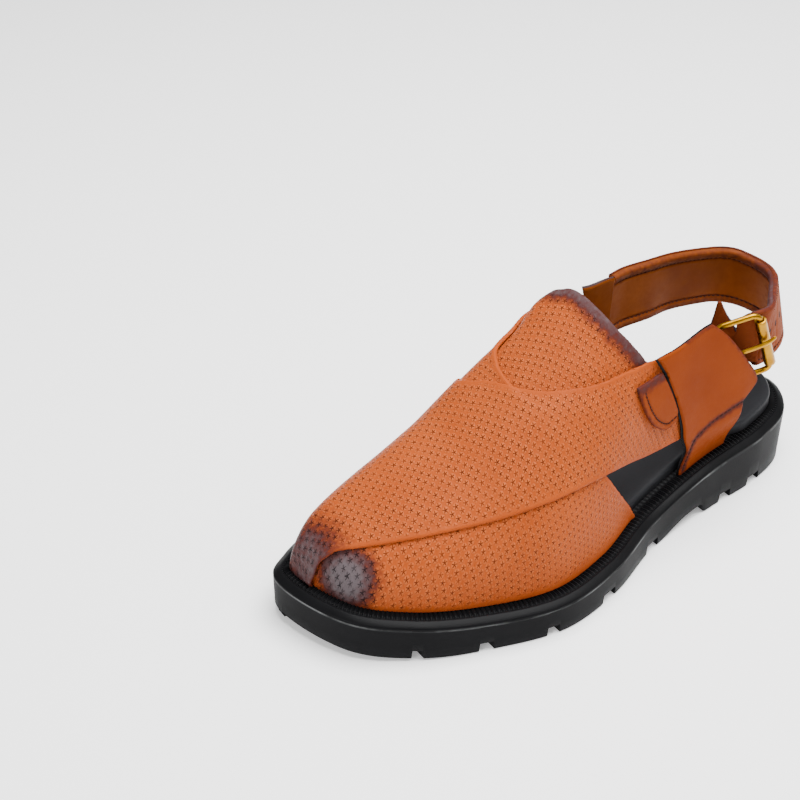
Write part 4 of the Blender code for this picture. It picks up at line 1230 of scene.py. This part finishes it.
# Tab: a half round of smooth leather that peeps out in front of the outer quarter. It is sewn
# on the outer band by one row of stitches inside its edge, its straight top waxed dark.
TAB_LEATHER = 0.0016
TAB_ROWS = (3.95, 5.55)
TAB_SEAM_INSET = 0.0034
TAB_STITCH_PITCH = 0.0022
TAB_CLEARANCE = 3.6 * GAP
TAB_GROOVE = 0.0004
TAB_TOP_WAX = 0.52
TAB_SEAM_WAX = 0.30
TAB_EDGE_WAX = 0.42
TAB = [(0.352, 0.098), (0.374, 0.103), (0.400, 0.122), (0.424, 0.152), (0.440, 0.188), (0.446, 0.215)]

rows, columns = crowded(34), crowded(40)
low_share = pick(TAB, TAB[0][0] + (TAB[-1][0] - TAB[0][0]) * columns, 0)
low_turn = pick(TAB, low_share, 1)
edge_row = TAB_ROWS[0] + (TAB_ROWS[1] - TAB_ROWS[0]) * columns
rear_share = pick(QUARTER, edge_row, 1) + TAB_CLEARANCE / SOLE_LENGTH
rear_turn = pick(QUARTER, edge_row, 2)
share = low_share + (rear_share - low_share) * rows[:, None]
turn = low_turn + (rear_turn - low_turn) * rows[:, None]
base = np.full(share.shape, band_tail_height() + GAP)
surface = on_last(share, turn, base + TAB_LEATHER)
from_round, from_top = (
    nearest(surface.reshape(-1, 3), evenly(line, 0.0005))[0].reshape(share.shape)
    for line in (surface[0], surface[:, -1]))
inside = np.minimum(from_round, from_top)
inside[0] = 0
inside[:, -1] = 0
low, high = rounded_edge(inside, base - GAP, base + TAB_LEATHER)
on_seam = (from_top > 0.004) * bell(from_round - TAB_SEAM_INSET, 0.0006)
burnish = np.maximum(TAB_TOP_WAX * ease(1.25 - from_top / 0.0068), TAB_SEAM_WAX * on_seam)
burnish = np.maximum(burnish, TAB_EDGE_WAX * ease(1 - from_round / 0.002))
on_the_last("tab_leather", share, turn, (low, high - TAB_GROOVE * on_seam), grid_faces(*share.shape),
            plain_leather, "plain_leather", "tab", burnish)
seam_path, seam_out = [], []
for column in range(3, len(columns) - 4):
    row = np.interp(TAB_SEAM_INSET, from_round[:, column], np.arange(len(rows)))
    k = min(int(row), len(rows) - 2)
    seam_path.append(surface[k, column] + (surface[k + 1, column] - surface[k, column]) * (row - k))
    seam_out.append(last_normal(share[k, column], turn[k, column]))
points, faces = stitched_along(
    np.array(seam_path), np.array(seam_out), TAB_STITCH_PITCH, sunk=0.5 * TAB_GROOVE, step=0.0004)
sewn_in("tab_stitches", points, faces, waxed_thread, "plain_leather")

# Heel strap: smooth leather outside, folded over a padded caramel lining. Two rows of stitches
# press the pad down between rolled edges. It is sewn to the inner quarter, runs round the
# heel and through the buckle, and ends in a thin waxed point.
STRAP_WIDTH = 0.0355
STRAP_THICKNESS = 0.0046
STRAP_HEIGHT = 0.0850
HOLE_RADIUS = 0.0017
HOLE_PLACES = [-0.0100, -0.0200, -0.0300]
BUCKLE_PLACE = (0.1640, 0.2950, 1.068)

# Place along the strap from the buckle, slant, depth
CREASES = [
    (-0.0040, 0.10, 0.00040),
    (-0.0068, -0.06, 0.00030),
    (-0.0120, 0.08, 0.00038),
    (-0.0155, -0.04, 0.00025),
    (-0.0230, 0.12, 0.00030),
]
STRAP_SEAM = 0.0052
OUTSIDE_SEAM = 0.0036
LINING_INSET = 0.0004
STRAP_ROUND = 0.0011
LINING_ROUND = 0.0016
SKIN = 0.0013
CREASE_WIDTH = 0.0009
OUTSIDE_GROOVE = 0.00035
LINING_GROOVE = 0.0011
PAD_SINK = 0.0007
STRAP_EDGE_WAX = 0.46
BORDER_WAX = 0.38
END_SHADE = 0.30
RED_TAN = (0.215, 0.046, 0.0110, 1.0)
RED_DEEP = (0.140, 0.027, 0.0070, 1.0)

# Middle line: shares of length, ball width and strap height, shares of width and thickness,
# and how many degrees the top edge leans inward
STRAP = [
    (0.3215, -0.262, 1.118, 1.00, 1.00, 0),
    (0.2900, -0.279, 1.115, 1.00, 1.00, 0),
    (0.2250, -0.287, 1.098, 1.00, 1.00, 1),
    (0.1690, -0.301, 1.079, 1.00, 1.00, 5),
    (0.1180, -0.288, 1.062, 1.00, 1.00, 7),
    (0.0700, -0.258, 1.044, 1.00, 1.00, 9),
    (0.0470, -0.212, 1.031, 1.00, 1.00, 10),
    (0.0345, -0.135, 1.022, 1.00, 1.00, 11),
    (0.0315, -0.045, 1.015, 1.00, 1.00, 11),
    (0.0420, 0.045, 1.012, 1.00, 1.00, 13),
    (0.0655, 0.104, 1.014, 1.00, 1.00, 12),
    (0.0985, 0.164, 1.026, 1.00, 0.95, 7),
    (0.1300, 0.213, 1.040, 1.00, 0.85, 0),
    (0.1564, 0.235, 1.052, 0.97, 0.75, -7),
    (0.1892, 0.178, 1.018, 0.60, 0.62, -7),
    (0.2010, 0.150, 1.045, 0.42, 0.55, -4),
    (0.2070, 0.138, 1.120, 0.32, 0.52, 0),
    (0.2150, 0.140, 1.205, 0.18, 0.50, 0),
    (0.2245, 0.148, 1.306, 0.05, 0.45, 0),
]


def strap_path(table, per_span):
    """Middle line and the shares that go along with it, from a table of rows."""
    rows = np.array(table, float)
    line = through(rows[:, :3] * (SOLE_LENGTH, BALL_WIDTH, STRAP_HEIGHT), per_span)
    numbered = np.column_stack([np.arange(len(rows)), rows])
    place = np.arange(len(line)) / per_span
    shares = [pick(numbered, place, column) for column in range(4, numbered.shape[1])]
    return line, np.column_stack(shares)


def outward_across(path, lean=0.0):
    """Direction square to the path, level but for the lean in degrees; a steep end keeps the
    direction before it."""
    along = unit(np.gradient(path, axis=0))
    across = np.cross(along, (0.0, 0.0, 1.0))
    for i in range(1, len(across)):
        if abs(along[i, 2]) > 0.35:
            across[i] = across[i - 1]
    across = unit(across)
    lean = np.radians(np.broadcast_to(lean, len(across)))[:, None]
    return -across * np.cos(lean) + np.array((0.0, 0.0, 1.0)) * np.sin(lean)


def over_path(path, across):
    """Direction square to both the path and what goes across it."""
    return unit(np.cross(across, unit(np.gradient(path, axis=0))))


def swept(path, across, section):
    """Points and faces of a solid along a path; section gives (across, over) offsets at an
    index of the path."""
    over = over_path(path, across)
    rings = [[path[i] + a * across[i] + b * over[i] for a, b in section(i)] for i in range(len(path))]
    size = len(rings[0])
    faces = grid_faces(len(path), size, loop=True)
    faces += [tuple(range(size)), tuple(range((len(path) - 1) * size, len(path) * size))]
    return np.array(rings).reshape(-1, 3), faces


def side_to_side(reach, count):
    """-1 to 1 with steps that crowd together at both ends."""
    return np.concatenate([[-1.0, -0.985, -0.95], np.linspace(-reach, reach, count), [0.95, 0.985, 1.0]])


path, shares = strap_path(STRAP, 16)
across = outward_across(path, shares[:, 2])
travelled = lengths_along(path)
rear_bar = np.array(BUCKLE_PLACE) * (SOLE_LENGTH, BALL_WIDTH, STRAP_HEIGHT)
at_bar = travelled[np.linalg.norm(path - rear_bar, axis=1).argmin()]
upright = side_to_side(0.90, 37)
holes = []
for metres in HOLE_PLACES:
    k = np.argmax(travelled > at_bar + metres)
    holes.append(((path[k] + 0.5 * shares[k, 1] * STRAP_THICKNESS * across[k] + STAND).tolist(), HOLE_RADIUS))
strap_leather = leather_finish(
    "strap_leather", RED_TAN, RED_DEEP, 0.55, grain=0.60, gloss=0.02, holes=holes)


def strap_halves(i):
    """Half width, thickness, and how far the pad is full here."""
    width, thickness = shares[i, 0] * STRAP_WIDTH, shares[i, 1] * STRAP_THICKNESS
    return 0.5 * width, thickness, ease((shares[i, 1] - 0.62) / 0.25)


def ring_of(front, back, v):
    """Section of a flat strip: up its front and down its back."""
    return list(zip(front, v)) + list(zip(back, v))[::-1]


def strap_outside(i):
    half, thickness, padded = strap_halves(i)
    v = upright * half
    from_edge = half - np.abs(v)
    round_over = round_off(from_edge, STRAP_ROUND)
    seam = bell(from_edge - OUTSIDE_SEAM, 0.0006) * min(1.0, padded + 0.3)
    skin = 0.5 * thickness * (0.30 + 0.70 * round_over) - OUTSIDE_GROOVE * seam
    for place, slant, depth in CREASES:
        skin = skin - depth * round_over * bell(travelled[i] - at_bar - place - slant * v, CREASE_WIDTH)
    return ring_of(skin, (0.5 * thickness - SKIN) * (0.3 + 0.7 * round_over), v)


def strap_inside(i):
    half, thickness, padded = strap_halves(i)
    v = upright * (half - LINING_INSET)
    from_edge = half - LINING_INSET - np.abs(v)
    roll = round_off(from_edge, LINING_ROUND)
    seam = bell(from_edge - STRAP_SEAM, 0.0008)
    panel = ease((from_edge - STRAP_SEAM) / 0.0022)
    pad = 0.5 * thickness * roll - padded * (LINING_GROOVE * seam + PAD_SINK * panel)
    return ring_of(-pad, (0.5 * thickness - SKIN - 0.00005) * (0.3 + 0.7 * roll), v)


# Wax on edges and tip of the outside, then on the lining's border, groove and shaded end
edge_wax = np.tile(ease(1 - (1 - np.abs(upright)) / 0.16), 2)
tip_wax = ease((travelled - at_bar - 0.006) / 0.008)[:, None] * (0.22 + 0.60 * np.sqrt(edge_wax))
points, faces = swept(path, across, strap_outside)
sewn_in("strap_outside", points, faces, strap_leather, "plain_leather", ["heel_strap"],
        burnish=np.maximum(STRAP_EDGE_WAX * edge_wax, tip_wax).ravel())

lined = len(path) - 5
from_edge = 0.5 * STRAP_WIDTH * (1 - np.abs(upright))
border = np.maximum(bell(from_edge - STRAP_SEAM, 0.0012), 0.85 * ease(1.5 - from_edge / STRAP_SEAM))
border = np.concatenate([BORDER_WAX * border, 0.0 * border])
shade = END_SHADE * ease((travelled[:lined, None] / at_bar - 0.45) / 0.5)
points, faces = swept(path[:lined], across[:lined], strap_inside)
inside = sewn_in("strap_lining", points, faces, caramel_lining, "plain_leather", ["heel_strap"],
                 burnish=np.maximum(border + shade, tip_wax[:lined]).ravel())

# Seams: inset from the edge, how deep in the face, and which face
SEAM_ROWS = [(STRAP_SEAM, 0.0009, -1), (OUTSIDE_SEAM, 0.00025, 1)]
span = np.arange(6, np.argmax(travelled > at_bar - 0.004))
over = over_path(path, across)[span]
sewn = []
for edge_side in (-1, 1):
    for inset, sunk, face in SEAM_ROWS:
        height = edge_side * (0.5 * shares[span, 0] * STRAP_WIDTH - inset)
        depth = face * (0.5 * shares[span, 1] * STRAP_THICKNESS - sunk)
        line = path[span] + height[:, None] * over + depth[:, None] * across[span]
        sewn.append(stitched_along(line, face * across[span]))
sewn_in("strap_stitches", *joined(sewn), waxed_thread, "plain_leather")

# Flap: a rounded tongue of thin black leather behind the buckle, sewn to the outer quarter's
# lining, that keeps the buckle off the foot.
FLAP_THICKNESS = 0.0016
FLAP_HEIGHT = 0.0250
FLAP_BLACK = (0.021, 0.022, 0.023, 1.0)

# Middle line: shares of length, ball width and strap height, share of the flap's height
FLAP = [
    (0.1450, 0.130, 0.93, 0.55),
    (0.1550, 0.122, 0.92, 0.80),
    (0.1850, 0.083, 0.90, 0.90),
    (0.2150, 0.048, 0.88, 0.90),
    (0.2500, 0.060, 0.87, 0.90),
    (0.2850, 0.125, 0.87, 0.85),
    (0.3120, 0.214, 0.88, 0.80),
    (0.3300, 0.244, 0.88, 0.70),
]
flap_path, flap_shares = strap_path(FLAP, 10)
flap_upright = side_to_side(0.88, 17)
flap_travel = lengths_along(flap_path)


def flap_section(i):
    half = 0.5 * FLAP_HEIGHT * flap_shares[i, 0]
    end = min(flap_travel[i], flap_travel[-1] - flap_travel[i])
    v = flap_upright * half
    full = 0.12 + 0.88 * round_off(half - np.abs(v), 0.0008)
    side = 0.5 * FLAP_THICKNESS * (0.35 + 0.65 * round_off(end, 0.0012)) * full
    return ring_of(side, -side, v)


points, faces = swept(flap_path, outward_across(flap_path), flap_section)
flap_leather = satin_finish("flap_leather", FLAP_BLACK, 0.45)
sewn_in("flap_sheet", points, faces, flap_leather, "lining", ["flap"])

# Buckle: a bent brass wire frame with a roller on its rear bar and a flat prong, hung in a
# leather loop at the outer quarter's rear edge. The prong's eye is wound round the front bar.
WIRE = 0.0030
BUCKLE_HEIGHT = 0.0420
BUCKLE_LENGTH = 0.0215
BUCKLE_CORNER = 0.0040
ROLLER_WALL = 0.0010
ROLLER_WAIST = 0.00012
PRONG_WIRE = 0.0026
PRONG_SWING = 0.0032
LOOP_LEATHER = 0.0012
LOOP_SHARE = 0.86
BUCKLE_LEAN = math.radians(22.6)
BUCKLE_TURN = math.radians(28.0)
PIN_CLEARANCE = 0.0004
BRASS_DARK = (0.17, 0.065, 0.003, 1.0)
BRASS_BRIGHT = (0.45, 0.230, 0.008, 1.0)

up = np.array([math.sin(BUCKLE_LEAN), 0.0, math.cos(BUCKLE_LEAN)])
level = np.array([math.cos(BUCKLE_LEAN), 0.0, -math.sin(BUCKLE_LEAN)])
forward = math.cos(BUCKLE_TURN) * level - math.sin(BUCKLE_TURN) * np.array([0.0, 1.0, 0.0])
outward = np.cross(up, forward)
half_height = BUCKLE_HEIGHT / 2 - WIRE / 2
front_bar = rear_bar + BUCKLE_LENGTH * forward

brass, shader, node, link = new_finish("brass", 0.26)
shader.inputs["Metallic"].default_value = 1.0
place = node("TexCoord").outputs["Object"]
tarnish = noise(node, place, 240.0, 5.0)
scratch = noise(node, place, 1300.0, 2.0, Distortion=1.5)
link(mixed(node, tarnish, BRASS_DARK, BRASS_BRIGHT), "Base Color")
link(ramp(node, tarnish, 0.0, 1.0, 0.18, 0.42), "Roughness")
link(bumped(node, scratch, 0.15, GRAIN_DEPTH), "Normal")


def wire_loop(path, across, section):
    """Points and faces of a closed ring of wire."""
    over = np.cross(across, unit(np.roll(path, -1, 0) - np.roll(path, 1, 0)))
    rings = [[point + a * across + b * up for a, b in section] for point, up in zip(path, over)]
    rings.append(rings[0])
    return np.array(rings).reshape(-1, 3), grid_faces(len(rings), len(section), loop=True)


def round_section(radius, count=20):
    turns = np.linspace(0, 2 * math.pi, count, endpoint=False)
    return [(radius * math.cos(t), radius * math.sin(t)) for t in turns]


bend = []
for side, end, degrees in ((1, 0, 180), (1, 1, 90), (-1, 1, 0), (-1, 0, -90)):
    centre = rear_bar + side * (half_height - BUCKLE_CORNER) * up
    centre = centre + (BUCKLE_LENGTH - BUCKLE_CORNER if end else BUCKLE_CORNER) * forward
    for angle in math.radians(degrees) - np.linspace(0, math.pi / 2, 14):
        bend.append(centre + BUCKLE_CORNER * (math.cos(angle) * forward + math.sin(angle) * up))
points, faces = wire_loop(np.array(bend), outward, round_section(WIRE / 2))
sewn_in("buckle_wire", points, faces, brass, "brass", ["buckle_frame"])


def collar(start, end, inner, outer, waist=0.0, count=40, rings=14):
    """Points and faces of a hollow roller with rounded ends, a little waisted at its middle."""
    along = unit(end - start)
    side = unit(np.cross(along, outward))
    over = np.cross(side, along)
    lip = 0.35 * (outer - inner)
    reach = np.linalg.norm(end - start)
    line = [(0.0, inner), (0.0, outer - lip), (0.3 * lip, outer - 0.3 * lip)]
    line += [(s, outer - waist * math.sin(math.pi * s / reach)) for s in np.linspace(lip, reach - lip, rings)]
    line += [(reach - 0.3 * lip, outer - 0.3 * lip), (reach, outer - lip), (reach, inner)]
    turns = np.linspace(0, 2 * math.pi, count, endpoint=False)
    spokes = [math.cos(t) * side + math.sin(t) * over for t in turns]
    rows = [[start + s * along + r * spoke for spoke in spokes] for s, r in line]
    rows.append(rows[0])
    return np.array(rows).reshape(-1, 3), grid_faces(len(rows), count, loop=True)


bore = WIRE / 2 + PIN_CLEARANCE
reach = (half_height - BUCKLE_CORNER) * up
points, faces = collar(rear_bar - reach, rear_bar + reach, bore, bore + ROLLER_WALL, ROLLER_WAIST)
sewn_in("roller_tube", points, faces, brass, "brass", ["buckle_roller"])

lift = PRONG_WIRE / 2 + GAP
root = front_bar + (WIRE / 2 + lift) * outward
over_roller = rear_bar + (bore + ROLLER_WALL + lift) * outward + PRONG_SWING * up
tip = over_roller - (2.0 * PRONG_WIRE) * forward - 0.25 * PRONG_WIRE * outward + 0.5 * PRONG_SWING * up
prong_path = through([root, root + 0.35 * (over_roller - root), over_roller, tip], 12)
prong_travel = np.linspace(0, 1, len(prong_path))


def prong_section(i):
    taper = 1 - 0.25 * ease((prong_travel[i] - 0.5) / 0.5)
    ends = round_off(1 - prong_travel[i], 0.05) * round_off(prong_travel[i], 0.04)
    radius = PRONG_WIRE / 2 * taper * max(ends, 0.15)
    return [(0.78 * a, b) for a, b in round_section(radius, 16)]


points, faces = swept(prong_path, np.broadcast_to(outward, prong_path.shape), prong_section)
sewn_in("prong_wire", points, faces, brass, "brass", ["buckle_prong"])

reach = LOOP_SHARE * reach
wrap = bore + LOOP_LEATHER
slot = PRONG_WIRE / 2 + PIN_CLEARANCE
halves = ((-reach, -slot * up), (slot * up, reach))
points, faces = joined([collar(front_bar + start, front_bar + end, bore, wrap) for start, end in halves])
sewn_in("hanging_loop", points, faces, plain_leather, "plain_leather", ["buckle_loop"],
        burnish=np.full(len(points), 0.25))
